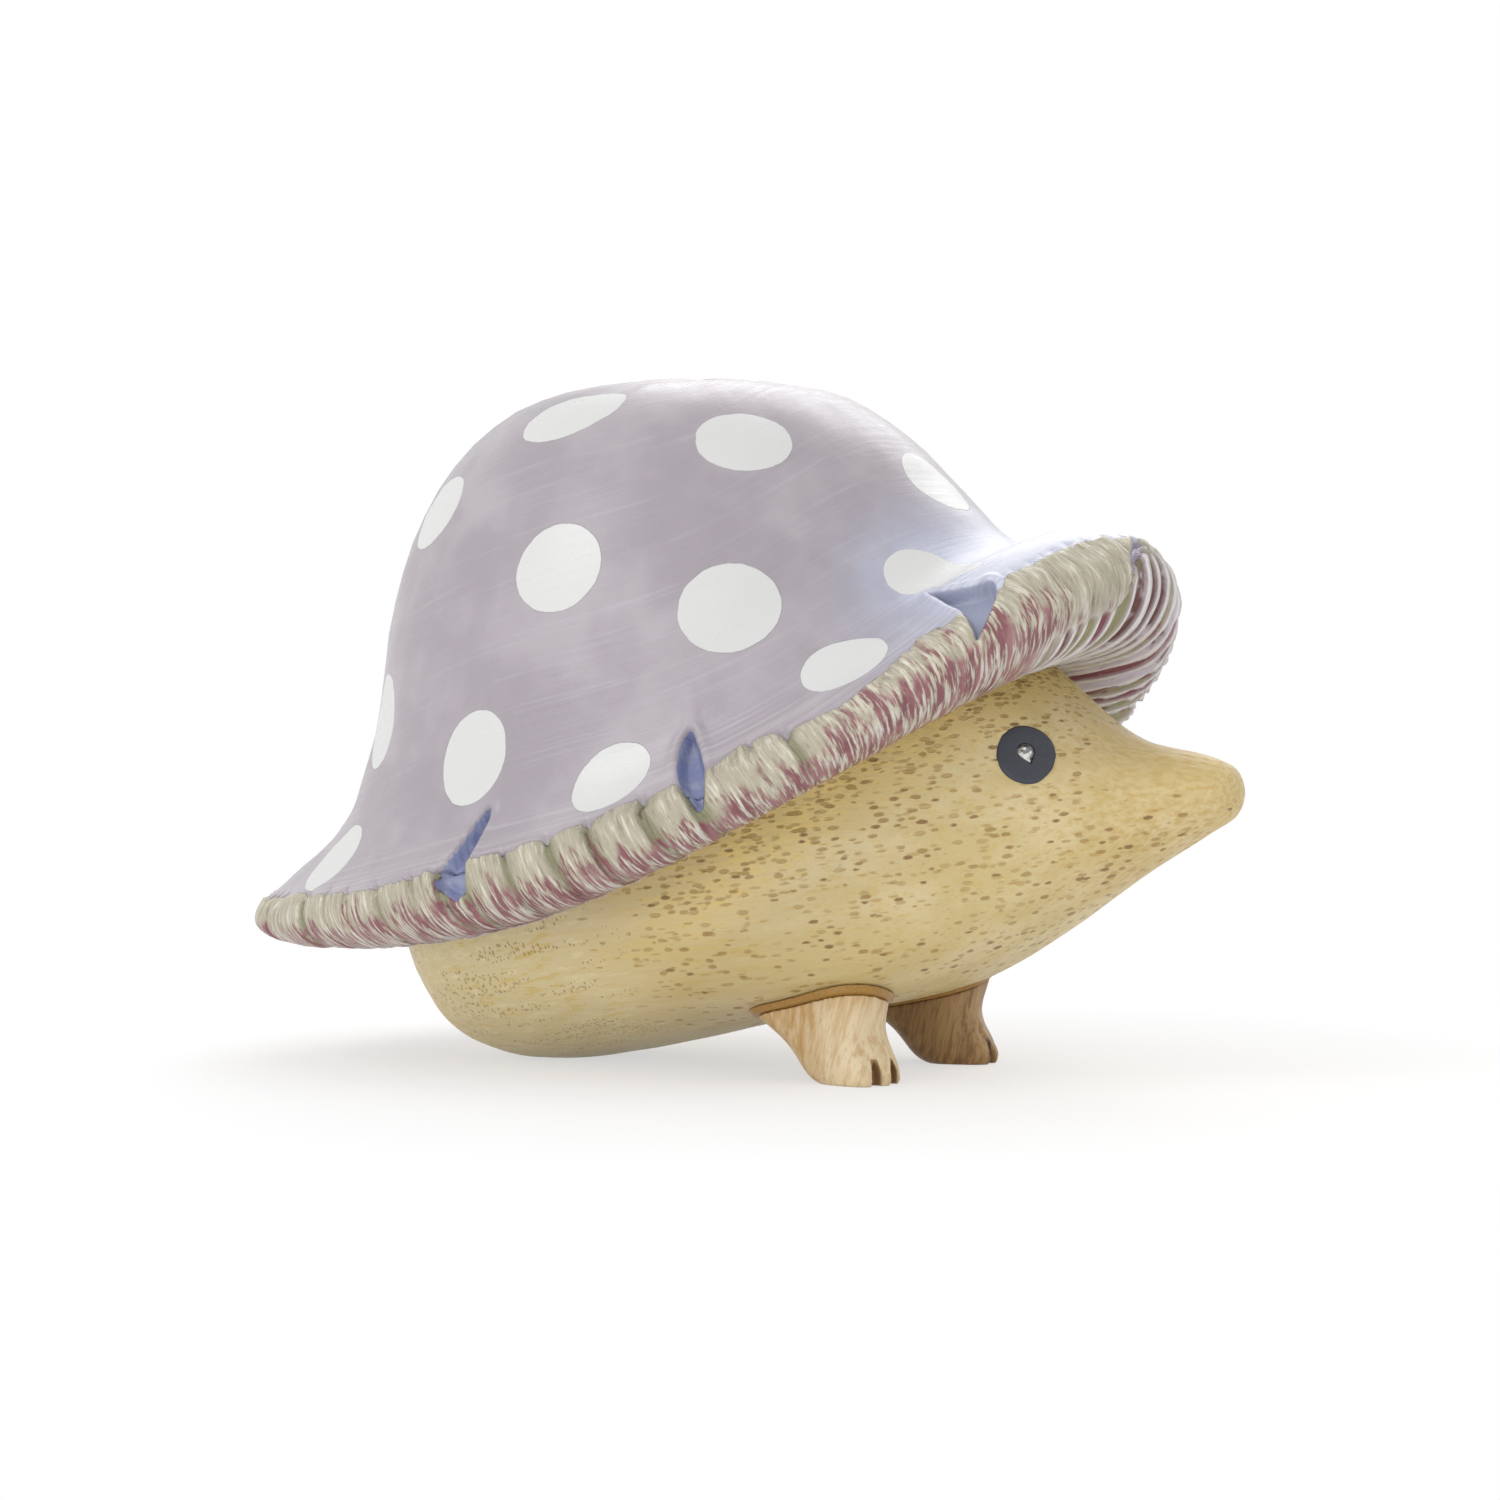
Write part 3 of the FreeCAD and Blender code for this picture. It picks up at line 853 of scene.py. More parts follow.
@dataclass(frozen=True)
class CarvedWood:
    """Oiled bamboo root: straight fibres, whose cut ends show as brown dashes."""

    name: str = "carved_wood"
    base: Colour = srgb(204, 185, 132)
    pale: Colour = srgb(214, 197, 152)
    yellow: Colour = srgb(204, 175, 98)
    dark: Colour = srgb(190, 160, 98)
    # Painted light: warm amber bounce light under the cap's brim, lighter than the wood to make up for the
    # brim's shade.
    amber_bounce_light: Colour = srgb(240, 212, 136)
    gold: Colour = srgb(174, 142, 80)
    mark: Colour = srgb(156, 122, 64)
    mark_dark: Colour = srgb(132, 96, 50)
    # Rear colours, lighter than the wood elsewhere: painted light where the cap shades the rear.
    rear_yellow: Colour = srgb(216, 190, 118)
    rear_painted_light: Colour = srgb(234, 220, 178)
    lean: Triple = (0.0, math.radians(7.0), 0.0)
    rear_lean: Triple = (0.0, math.radians(17.0), 0.0)
    fibre: Grain = Grain((0.06, 1.0, 1.0), 1.4, 4.0, 0.6)
    bands: Grain = Grain((0.03, 0.14, 0.14), 1.0, 3.0, 0.5)
    grain: Grain = Grain((0.10, 2.2, 2.2), 1.8, 3.0, 0.6)
    dash_edges: Grain = Grain((1.0, 1.6, 1.6), 1.3, 2.0, 0.5)
    strokes: Grain = Grain((0.14, 0.9, 0.9), 1.0, 3.0, 0.6)
    rows: Grain = Grain((0.05, 0.42, 0.42), 1.0, 2.0, 0.5)
    tick_cells: Triple = (1.9, 1.15, 1.15)
    chest_dashes: Dashes = Dashes(0.98, 2.7, 0.40)
    crown_dashes: Dashes = Dashes(0.90, 2.2, 0.48)
    flank_dashes: Dashes = Dashes(0.75, 4.2, 0.40)
    specular: float = 0.45

    def dashes(self, g: Graph, kind: Dashes, density: Socket) -> tuple[Socket, Socket]:
        """Adds one kind of dashes.

        Args:
            g: The graph they are added to.
            kind: Their sizes.
            density: Share of cells that hold a dash.

        Returns:
            The mask and a number that differs from dash to dash.
        """
        ragged = g.remap(g.grain(self.dash_edges, self.lean), 0.3, 0.7, -0.05, 0.05)
        scale = (1.0 / (kind.cell * kind.length), 0.45 / kind.cell, 1.0 / kind.cell)
        distance, own = g.cells(g.place(scale, self.lean), 1.0, 0.88)
        held = g.step(g.minus(density, own[0]), -0.03, 0.03)
        reach = g.times(g.remap(own[1], 0.0, 1.0, 0.62 * kind.size, kind.size), held)
        edge = g.minus(reach, g.plus(distance, ragged))
        return g.times(g.step(edge, -0.03, 0.13), held), own[2]

    def material(self) -> bpy.types.Material:
        """Builds the material.

        Returns:
            The material.
        """
        g = Graph.new(self.name)
        fibre, bands, grain = (g.grain(kind, self.lean) for kind in (self.fibre, self.bands, self.grain))
        strokes, rows = (g.grain(kind, self.rear_lean) for kind in (self.strokes, self.rows))
        rear_ticks_and_light, crown = g.value("rear_ticks_and_light"), g.value("crown")
        colour = g.mix(g.step(bands, 0.38, 0.64), self.base, self.pale)
        colour = g.tint(colour, g.step(fibre, 0.50, 0.70), 0.55, self.yellow)
        colour = g.tint(colour, g.step(grain, 0.54, 0.76), 0.38, self.dark)
        colour = g.tint(colour, g.value("snout"), g.remap(fibre, 0.38, 0.62, 0.15, 0.75), self.dark)
        # Painted light: the rear, in the cap's shade, is lightened, and its yellow and pale strokes are lighter
        # too.
        colour = g.tint(colour, rear_ticks_and_light, 0.62, self.rear_painted_light)
        colour = g.tint(colour, g.times(g.step(strokes, 0.54, 0.64), rear_ticks_and_light), 0.85, self.rear_yellow)
        colour = g.tint(colour, g.times(g.step(strokes, 0.44, 0.34), rear_ticks_and_light), 0.75, self.rear_painted_light)
        # Painted light: warm amber under the cap's brim stands for light that the cap bounces, and lifts the
        # brim's shade.
        colour = g.tint(colour, crown, g.remap(fibre, 0.36, 0.62, 0.50, 1.0), self.amber_bounce_light)

        chest, own = self.dashes(g, self.chest_dashes, g.value("chest"))
        tone = g.mix(g.step(own, 0.25, 0.55), self.gold, self.mark)
        tone = g.mix(g.step(own, 0.70, 0.90), tone, self.mark_dark)
        colour = g.tint(colour, chest, g.remap(own, 0.0, 1.0, 0.50, 0.90), tone)
        small, own = self.dashes(g, self.crown_dashes, crown)
        colour = g.tint(colour, small, g.remap(own, 0.0, 1.0, 0.40, 0.85), self.gold)
        fleck, own = self.dashes(g, self.flank_dashes, g.times(g.value("flank"), 0.60))
        colour = g.tint(colour, fleck, g.remap(own, 0.0, 1.0, 0.35, 0.75), self.gold)

        distance, _ = g.cells(g.place(self.tick_cells, self.rear_lean), 1.0, 0.8)
        reach = g.times(g.remap(rows, 0.44, 0.56, 0.0, 0.40), rear_ticks_and_light)
        tick = g.step(g.minus(reach, distance), -0.03, 0.06)
        colour = g.tint(colour, tick, 0.60, self.mark)

        pits = g.math("MAXIMUM", g.math("MAXIMUM", chest, small), g.times(tick, 0.7))
        normal = g.bump(g.minus(g.times(fibre, 0.4), g.times(pits, 0.7)), 0.16, 0.8)
        normal = g.bump(g.plus(grain, g.times(strokes, rear_ticks_and_light)), 0.10, 0.6, normal)
        rough = g.remap(fibre, 0.3, 0.7, 0.38, 0.52)
        return g.shade(colour, rough, normal, Specular_IOR_Level=self.specular)


@dataclass(frozen=True)
class FootWood:
    """Darker wood with upright grain."""

    name: str = "right_foot_wood"
    base: Colour = srgb(230, 212, 176)
    dark: Colour = srgb(212, 184, 142)
    vein: Colour = srgb(180, 140, 94)
    notch: Colour = srgb(150, 116, 78)
    top_heel_darkening: Colour = srgb(190, 148, 84)
    lean: Triple = (0.0, math.radians(-14.0), 0.0)
    grain: Grain = Grain((1.0, 1.0, 0.12), 1.0, 4.0, 0.6)
    fine: Grain = Grain((3.6, 3.6, 0.35), 1.0, 3.0, 0.65)
    roughness: float = 0.42
    specular: float = 0.45

    def material(self) -> bpy.types.Material:
        """Builds the material.

        Returns:
            The material.
        """
        g = Graph.new(self.name)
        grain, fine = (g.grain(kind, self.lean) for kind in (self.grain, self.fine))
        colour = g.mix(g.step(grain, 0.42, 0.66), self.base, self.dark)
        colour = g.tint(colour, g.step(fine, 0.54, 0.70), 0.45, self.vein)
        # Darker towards the top, under the belly, and at the heel.
        colour = g.tint(colour, g.value("top_heel_darkening"), g.remap(grain, 0.3, 0.7, 0.2, 0.9), self.top_heel_darkening)
        colour = g.mix(g.step(g.value("notch"), 0.15, 0.75), colour, self.notch)
        normal = g.bump(fine, 0.10, 0.7, g.bump(grain, 0.12, 0.8))
        return g.shade(colour, self.roughness, normal, Specular_IOR_Level=self.specular)


@dataclass(frozen=True)
class PlainFinish:
    """One even colour with a fine grain in its gloss."""

    name: str
    colour: Colour
    roughness: float
    bump_mm: float = 0.03
    roughness_spread: float = 0.05
    brighter: float = 1.25
    grain: Grain = Grain((1.0, 1.0, 1.0), 2.5, 3.0, 0.6)

    def material(self) -> bpy.types.Material:
        """Builds the material.

        Returns:
            The material.
        """
        g = Graph.new(self.name)
        grain = g.grain(self.grain)
        rough = g.remap(grain, 0.3, 0.7, self.roughness - self.roughness_spread,
                        self.roughness + self.roughness_spread)
        bright = tuple(channel * self.brighter for channel in self.colour)
        colour = g.mix(g.step(grain, 0.4, 0.7), self.colour, bright)
        return g.shade(colour, rough, g.bump(grain, self.bump_mm, 0.6))


@dataclass(frozen=True)
class GemFinish:
    """Clear cut glass over a bright backing, with bright and grey patches painted in as the facets' glints."""

    dark: Colour = srgb(120, 120, 118)
    bright: Colour = srgb(226, 226, 222)
    facets_per_mm: float = 1.6
    roughness: float = 0.06

    def material(self) -> bpy.types.Material:
        """Builds the material.

        Returns:
            The material.
        """
        g = Graph.new("clear_gem")
        _, own = g.cells(g.place((1.0, 1.0, 1.0)), self.facets_per_mm)
        # Painted reflections: bright and grey patches stand for facets that catch or miss the light.
        colour = g.mix(g.step(own[0], 0.2, 0.8), self.dark, self.bright)
        return g.shade(colour, self.roughness, None, Metallic=0.55, Coat_Weight=1.0, Coat_Roughness=0.02)


# The cap

COMPASS_STEPS = 4


def compass_values(values: Sequence[float], angle: np.ndarray) -> np.ndarray:
    """A smooth even curve round the cap through its values at the five compass points.

    Args:
        values: Values at the front, front quarter, side, rear quarter and rear.
        angle: Angles from the front.

    Returns:
        The curve's values.
    """
    last = COMPASS_STEPS
    total = np.zeros_like(angle)
    for order in range(last + 1):
        term = sum((0.5 if place in (0, last) else 1.0) * value * math.cos(math.pi * order * place / last)
                   for place, value in enumerate(values))
        total += 2.0 / last * (0.5 if order in (0, last) else 1.0) * term * np.cos(order * angle)
    return total


class SplitPaint(Enum):
    """Colour on the floor of a split."""

    BLUE = 0.0
    PALE = 0.5
    SKIN = 1.0


@dataclass(frozen=True)
class Spot:
    """A painted spot: its place on the skin, half sizes in millimetres and its turn in degrees."""

    turn: float
    along: float
    half_wide: float
    half_high: float
    degrees: float = 0.0


@dataclass(frozen=True)
class Split:
    """A split in the brim's edge: its place, outline and depth in millimetres, and its paint."""

    turn: float
    outline: Outline
    depth: float
    paint: SplitPaint = SplitPaint.BLUE
    mirrored: bool = False


FUNNEL: Outline = ((1.5, 10.4), (-0.4, 8.4), (-1.0, 4.6), (-2.0, 1.6), (-3.3, -0.3), (-3.9, -1.8),
                   (-2.8, -3.6), (-0.3, -5.2), (1.6, -6.4), (2.3, -4.0), (2.1, -0.4), (2.3, 3.2), (2.3, 7.0))
LENS: Outline = ((0.1, 12.4), (-1.1, 11.6), (-2.0, 9.4), (-2.3, 4.9), (-0.8, -1.4), (1.0, -4.6), (1.8, -2.2),
                 (2.0, 2.6), (1.4, 7.6), (0.6, 11.0))
HOOK: Outline = ((-0.2, 12.4), (0.6, 9.6), (1.8, 6.9), (3.2, 5.2), (5.4, 4.3), (4.2, 1.5), (1.8, -0.9),
                 (-0.35, -2.6), (-2.4, -4.0), (-3.4, -5.0), (-2.9, -2.2), (-2.3, -0.2), (-1.6, 2.6),
                 (-1.7, 4.9), (-1.2, 8.0))
GROOVE: Outline = ((5.6, -0.4), (7.4, -1.9), (1.4, -4.9), (-3.0, -7.3), (-6.4, -8.8), (-4.2, -5.4),
                   (0.2, -2.9))


@dataclass
class MushroomCap:
    """The mushroom cap: crown, rolled and pleated edge, and gills."""

    axis_x: float = -9.5
    height: float = 106.5
    roll_height: float = 12.5
    poles: int = 16
    segments: int = 1080
    upper_rings: int = 21
    edge_rings: int = 26
    edge_share: float = 0.160
    roll_rings: int = 42
    closing_rings: int = 3
    brim_reach: tuple[float, ...] = (72.5, 66.0, 57.0, 64.0, 71.0)
    brim_height: tuple[float, ...] = (85.0, 54.8, 35.5, 25.5, 26.0)
    crown_reach: tuple[tuple[float, ...], ...] = (
        (0.0, 0.0, 0.0, 0.0, 0.0),
        (0.25, 0.27, 0.31, 0.28, 0.25),
        (0.43, 0.50, 0.60, 0.52, 0.46),
        (0.565, 0.65, 0.77, 0.70, 0.62),
        (0.69, 0.735, 0.84, 0.765, 0.69),
        (0.785, 0.80, 0.87, 0.79, 0.72),
        (0.90, 0.895, 0.905, 0.85, 0.845),
        (1.0, 1.0, 1.0, 1.0, 1.0),
    )
    crown_rise: tuple[tuple[float, ...], ...] = (
        (1.0, 1.0, 1.0, 1.0, 1.0),
        (1.0, 1.0, 1.0, 1.0, 1.0),
        (0.74, 0.885, 0.915, 0.925, 0.925),
        (0.26, 0.60, 0.67, 0.715, 0.72),
        (-0.07, 0.35, 0.40, 0.46, 0.44),
        (-0.23, 0.15, 0.185, 0.23, 0.185),
        (0.14, 0.045, 0.08, 0.11, 0.085),
        (0.0, 0.0, 0.0, 0.0, 0.0),
    )
    roll_reach: tuple[tuple[float, ...], ...] = (
        (1.0, 1.0, 1.0, 1.0, 1.0),
        (1.083, 1.053, 1.035, 1.03, 1.035),
        (1.097, 1.045, 1.018, 1.008, 1.014),
        (0.966, 0.91, 0.895, 0.906, 0.90),
        (0.717, 0.636, 0.58, 0.578, 0.507),
    )
    roll_drop: tuple[tuple[float, ...], ...] = (
        (0.0, 0.0, 0.0, 0.0, 0.0),
        (0.16, 0.20, 0.36, 0.24, 0.24),
        (1.04, 0.68, 1.0, 0.56, 0.48),
        (1.68, 0.78, 1.0, 0.52, 0.44),
        (1.76, 0.70, 0.68, 0.20, 0.08),
    )
    spots: tuple[Spot, ...] = (
        Spot(-0.278, 0.180, 8.4, 6.4, -35),
        Spot(-0.1375, 0.261, 7.4, 6.2, 0),
        Spot(-0.245, 0.469, 7.2, 6.7, -30),
        Spot(-0.1546, 0.598, 7.7, 6.8, 0),
        Spot(-0.362, 0.370, 7.0, 6.0, -30),
        Spot(-0.378, 0.700, 6.4, 7.4, 0),
        Spot(-0.2842, 0.795, 6.0, 7.4, 30),
        Spot(-0.2085, 0.8973, 6.7, 4.7, -27),
        Spot(-0.1128, 0.900, 6.8, 5.0, 21),
        Spot(-0.0655, 0.7332, 5.6, 5.4, 30),
        Spot(-0.0585, 0.800, 5.6, 3.0, 48),
        Spot(-0.0017, 0.415, 7.0, 6.4, 0),
        Spot(-0.372, 0.945, 6.6, 6.4, 0),
        Spot(0.105, 0.330, 7.2, 6.4, 20),
        Spot(0.225, 0.255, 7.0, 6.6, 0),
        Spot(0.190, 0.560, 7.6, 6.6, 0),
        Spot(0.095, 0.640, 7.2, 6.6, 0),
        Spot(0.290, 0.500, 7.0, 6.8, 25),
        Spot(0.385, 0.300, 7.4, 6.4, 0),
        Spot(0.400, 0.620, 7.0, 7.2, 0),
        Spot(0.262, 0.790, 6.4, 7.2, -20),
        Spot(0.192, 0.880, 7.0, 5.4, 0),
        Spot(0.050, 0.850, 7.2, 5.6, 0),
        Spot(0.345, 0.890, 7.0, 6.0, 0),
        Spot(0.455, 0.900, 7.2, 6.2, 0),
        Spot(-0.470, 0.560, 7.0, 6.8, 0),
        Spot(-0.480, 0.250, 6.8, 6.2, 0),
        Spot(-0.448, 0.850, 6.4, 6.2, 0),
        Spot(0.290, 0.100, 6.6, 6.4, 0),
    )
    splits: tuple[Split, ...] = (
        Split(-0.2737, FUNNEL, 2.6),
        Split(-0.1738, LENS, 2.4),
        Split(-0.0726, HOOK, 2.4, SplitPaint.PALE),
        Split(-0.0056, GROOVE, 1.3, SplitPaint.SKIN),
        Split(0.150, LENS, 2.4, SplitPaint.BLUE, True),
        Split(0.330, FUNNEL, 2.6, SplitPaint.BLUE, True),
    )
    rim_rise: Outline = (
        (-0.42, 0.6), (-0.374, 1.3), (-0.33, -0.9), (-0.30, -1.0), (-0.28, 0.0), (-0.246, -0.3),
        (-0.218, 1.4), (-0.195, 3.0), (-0.182, 2.6), (-0.165, 2.6), (-0.155, 4.6), (-0.147, 4.0),
        (-0.13, 0.2), (-0.119, -0.2), (-0.10, 1.5), (-0.091, 2.8), (-0.08, 1.2), (-0.069, -0.6),
        (-0.0564, 2.6), (-0.045, 1.2), (-0.03, 1.0), (-0.019, -0.2), (-0.003, -1.5), (0.03, -0.6),
        (0.06, 1.6), (0.10, 0.4), (0.13, 2.8), (0.17, 0.2), (0.21, 1.8), (0.26, -0.6), (0.30, 2.2),
        (0.35, -0.4), (0.40, 1.4), (0.45, -0.2),
    )
    pleat_pitch: float = 6.6
    fin_pitch: float = 4.5
    pleat_lean: float = 0.030
    groove_depth: float = 1.5
    fin_depth: float = 1.8
    front_crowding: float = 0.50
    pace_steps: int = 401
    roll_pace: float = 1.25
    mean_reach: float = 63.0
    skin_length: float = 110.0
    roll_length: float = 24.0
    pleat_seed: int = 11
    pleat_spread: float = 0.50
    fin_spread: float = 0.22
    pleat_swell: float = 0.24
    nick_depth: float = 0.9
    lip_height: float = 0.30
    band_height: float = 0.28
    spot_reach: float = 12.0
    closing_height: float = 45.0
    soft_waves: tuple[Waver, ...] = (Waver(3, 22, 14, 0.28), Waver(4, 60, 40, 0.10))
    brushed_waves: tuple[Waver, ...] = (Waver(5, 420, 5, 0.06), Waver(6, 150, 8, 0.07))
    rough_waves: tuple[Waver, ...] = (Waver(7, 330, 7, 0.32), Waver(8, 120, 9, 0.42))

    def form(self, reaches: Sequence, heights: Callable[[int, np.ndarray], np.ndarray]) -> SplineForm:
        """A spline form from rows of shares of the brim's reach and a height for each row.

        Args:
            reaches: The rows of shares.
            heights: Gives the heights round a row from its number and the poles' angles.

        Returns:
            The form.
        """
        angle = TAU * np.arange(self.poles) / self.poles
        gain = SplineForm.gain(self.poles)
        net = []
        for row, shares in enumerate(reaches):
            reach = gain * compass_values([s * r for s, r in zip(shares, self.brim_reach)], angle)
            ring = [self.axis_x + reach * np.cos(angle), reach * np.sin(angle), heights(row, angle)]
            net.append(np.stack(ring, axis=-1))
        return SplineForm(np.array(net))

    def crown(self) -> SplineForm:
        """The painted skin, from its top to the brim's edge.

        Returns:
            The form, with its first row at the top.
        """
        def heights(row: int, angle: np.ndarray) -> np.ndarray:
            """Heights round one row."""
            rises = [low + share * (self.height - low)
                     for share, low in zip(self.crown_rise[row], self.brim_height)]
            return compass_values(rises, angle)

        return self.form(self.crown_reach, heights)

    def roll(self) -> SplineForm:
        """The rolled edge and the gills, from the brim's edge to the throat.

        Returns:
            The form, with its first row at the brim's edge.
        """
        def heights(row: int, angle: np.ndarray) -> np.ndarray:
            """Heights round one row."""
            drops = [low - share * self.roll_height
                     for share, low in zip(self.roll_drop[row], self.brim_height)]
            return compass_values(drops, angle)

        return self.form(self.roll_reach, heights)

    def columns(self) -> np.ndarray:
        """Places of the columns in turns, closer together at the front, where the fins are thin."""
        even = np.arange(self.segments) / self.segments
        return even - self.front_crowding * np.sin(TAU * even) / TAU

    def base_grid(self) -> tuple[np.ndarray, np.ndarray, np.ndarray]:
        """Rows of points from the top to the throat, close together near the brim, where the splits are.

        Returns:
            The points, the place of each row along the roll, and the signed distance below the edge.
        """
        turns = self.columns()
        crown_form = self.crown()
        far, crown_rings = 1.0 - self.edge_share, self.upper_rings + self.edge_rings
        pace = np.concatenate([np.linspace(0.0, far, self.upper_rings + 1)[:-1],
                               np.linspace(far, 1.0, self.edge_rings + 1)])
        crown_rows = np.interp(pace, np.linspace(0.0, 1.0, self.pace_steps),
                               crown_form.even_shares(self.pace_steps))
        roll_rows = np.linspace(0.0, 1.0, self.roll_rings + 1)[1:] ** self.roll_pace
        upper = crown_form.grid(turns, crown_rows)
        upper[0] = upper[0].mean(axis=0)
        points = np.concatenate([upper, self.roll().grid(turns, roll_rows)])
        steps = np.linalg.norm(np.diff(points, axis=0), axis=-1)
        length = np.concatenate([np.zeros((1, self.segments)), np.cumsum(steps, axis=0)])
        fold = np.concatenate([np.zeros(crown_rings + 1), roll_rows])
        return points, fold, length - length[crown_rings]

    @staticmethod
    def boldness(turn: np.ndarray) -> np.ndarray:
        """How bold the fins are: full at the front, about half where they crowd together on the right."""
        return 0.46 + 0.54 * smoothstep(-0.050, -0.005, np.asarray(turn))

    @staticmethod
    def ragged(turn: np.ndarray) -> np.ndarray:
        """How much the band is scratched and rough, with hardly any pleats, beside the fins."""
        return smoothstep(-0.140, -0.118, turn) * smoothstep(-0.004, -0.02, turn)

    def pleat_edges(self) -> tuple[np.ndarray, np.ndarray, np.ndarray]:
        """Draws the lines between pleats.

        Returns:
            Their places in turns, with a depth and a tint for each.
        """
        random = np.random.default_rng(self.pleat_seed)
        edges, turn = [], -0.5
        while turn < 0.5:
            near_front = float(smoothstep(0.125, 0.085, np.array(abs(turn))))
            bold = float(self.boldness(turn))
            pitch = self.pleat_pitch * (1 - near_front) + self.fin_pitch * near_front * bold
            spread = self.pleat_spread * (1 - near_front) + self.fin_spread * near_front
            edges.append(turn)
            turn += pitch * (1.0 + random.uniform(-spread, spread)) / (TAU * self.mean_reach)
        share = 1.0 / (turn + 0.5)
        depths = 0.22 + 1.05 * random.uniform(0.0, 1.0, len(edges)) ** 1.1
        return (np.array(edges) + 0.5) * share - 0.5, depths, random.uniform(0.0, 1.0, len(edges))

    def pleats(self, turn: np.ndarray, fold: np.ndarray, under: np.ndarray,
               front: np.ndarray) -> dict[str, np.ndarray]:
        """Pleats and gills.

        Args:
            turn: Places round, from -0.5 to 0.5.
            fold: Places along the roll.
            under: Distance below the line where the skin ends.
            front: How much a place has thin fins in place of flat pleats.

        Returns:
            How far each point sinks, its height on its pleat, the place its pleat starts from, and its tint.
        """
        edges, depths, tints = self.pleat_edges()
        lean = np.sin(TAU * turn) * np.abs(np.sin(TAU * turn)) * self.pleat_lean
        start = (turn + lean * fold + 0.5) % 1.0 - 0.5
        index = np.clip(np.searchsorted(edges, start, side="right") - 1, 0, len(edges) - 1)
        wide = np.diff(np.append(edges, edges[0] + 1.0))[index] * TAU * self.mean_reach
        share = (start - edges[index]) * TAU * self.mean_reach / wide
        left, right = share * wide, (1.0 - share) * wide
        first, second = depths[index], depths[(index + 1) % len(edges)]
        leaf = 0.35 + 0.65 * bell(fold - 0.16, 0.24)
        even = 1.0 - 0.72 * self.ragged(turn)
        spread = 1.25 + 0.95 * smoothstep(-0.13, -0.18, turn) * smoothstep(0.5, 0.9, first)
        groove = np.maximum(np.exp(-left / spread) * first, bell(right, 0.42) * second) * even
        swell = np.sin(math.pi * share) * np.minimum(wide / 6.0, 1.2) * smoothstep(0.6, 0.1, fold) * even
        ridge = np.maximum(np.exp(-left / 0.22), np.exp(-right / 0.50))
        fade = np.where(under < 0.0, 0.8 * bell(under, 0.8), 0.8 + 0.2 * smoothstep(0.0, 3.0, under))
        nearest = np.minimum(left / np.maximum(first, 0.3), right / np.maximum(second, 0.3))
        nick = self.nick_depth * (1.0 - front) * bell(nearest, 0.9) * bell(under - 0.4, 1.4) * even
        flat = (self.groove_depth * groove * leaf - self.pleat_swell * swell) * (1.0 - front)
        fin = self.fin_depth * (1.0 - ridge) * front * self.boldness(turn)
        height = (1.0 - np.clip(groove, 0.0, 1.0)) * (1.0 - front) + ridge * front
        return {"sink": (flat + fin) * fade + nick, "height": height, "start": start, "tint": tints[index]}

    def spot_field(self, points: np.ndarray) -> tuple[np.ndarray, np.ndarray]:
        """Spots.

        Args:
            points: Places on the cap.

        Returns:
            Distance inside the edge of the nearest spot, in millimetres, and the place in that spot as
            shares of its half sizes.
        """
        form, step = self.crown(), 0.002
        even, dot = np.full(points.shape[:2], -999.0), np.zeros(points.shape)
        for spot in self.spots:
            turns, alongs = np.array([[spot.turn, spot.turn + step], [spot.along, spot.along + step]])
            corner = form.grid(turns, alongs)
            centre = corner[0, 0]
            right, down = corner[0, 1] - centre, corner[1, 0] - centre
            right /= np.linalg.norm(right)
            down -= right * down.dot(right)
            down /= np.linalg.norm(down)
            offset = points - centre
            a, b, c = offset @ right, offset @ down, offset @ np.cross(right, down)
            cos, sin = math.cos(math.radians(spot.degrees)), math.sin(math.radians(spot.degrees))
            place = np.stack([(a * cos + b * sin) / spot.half_wide, (b * cos - a * sin) / spot.half_high,
                              c / self.spot_reach], axis=-1)
            inside = (1.0 - np.linalg.norm(place, axis=-1)) * 0.5 * (spot.half_wide + spot.half_high)
            dot = np.where((inside > even)[..., None], place, dot)
            even = np.maximum(even, inside)
        return np.maximum(even, -3.0), dot

    def split_field(self, turn: np.ndarray, below: np.ndarray,
                    reach: np.ndarray) -> tuple[np.ndarray, np.ndarray, np.ndarray]:
        """Splits in the edge.

        Args:
            turn: Places round, from -0.5 to 0.5.
            below: Distance below the brim's edge.
            reach: Distance from the crown's axis.

        Returns:
            How far each point sinks, how far inside a split it lies, and how pale the split is painted.
        """
        sink, inside, pale = np.zeros_like(below), np.full_like(below, -5.0), np.zeros_like(below)
        for cut in self.splits:
            across = (turn - cut.turn) * TAU * reach * (-1.0 if cut.mirrored else 1.0)
            distance = inside_distance(across, -below, cut.outline)
            lip = self.lip_height * bell(distance + 0.7, 0.6)
            sink = np.where(distance > -2.5, cut.depth * smoothstep(-0.05, 0.75, distance) - lip, sink)
            pale = np.where(distance > inside, cut.paint.value, pale)
            inside = np.maximum(inside, distance)
        return sink, inside, pale

    def relief(self, turn: np.ndarray, below: np.ndarray, under: np.ndarray) -> np.ndarray:
        """Hand-worked unevenness: soft over the skin, brushed on the band and roughest beside the fins.

        Args:
            turn: Places round.
            below: Distance below the brim's edge.
            under: Distance below the line where the skin ends.

        Returns:
            Heights in millimetres.
        """
        length = np.clip(-below / self.skin_length, 0.0, 1.0)
        down = np.clip(under / self.roll_length, 0.0, 1.0)
        soft = sum(wave(turn, length) for wave in self.soft_waves)
        soft *= smoothstep(0.0, 0.06, length) * smoothstep(1.0, 0.85, length)
        brushed = sum(wave(turn, down) for wave in self.brushed_waves)
        rough = sum(wave(turn, down) for wave in self.rough_waves)
        rough *= self.ragged(turn) * smoothstep(12.0, 7.0, under)
        return soft + smoothstep(-0.3, 0.5, under) * (brushed + rough + self.band_height)

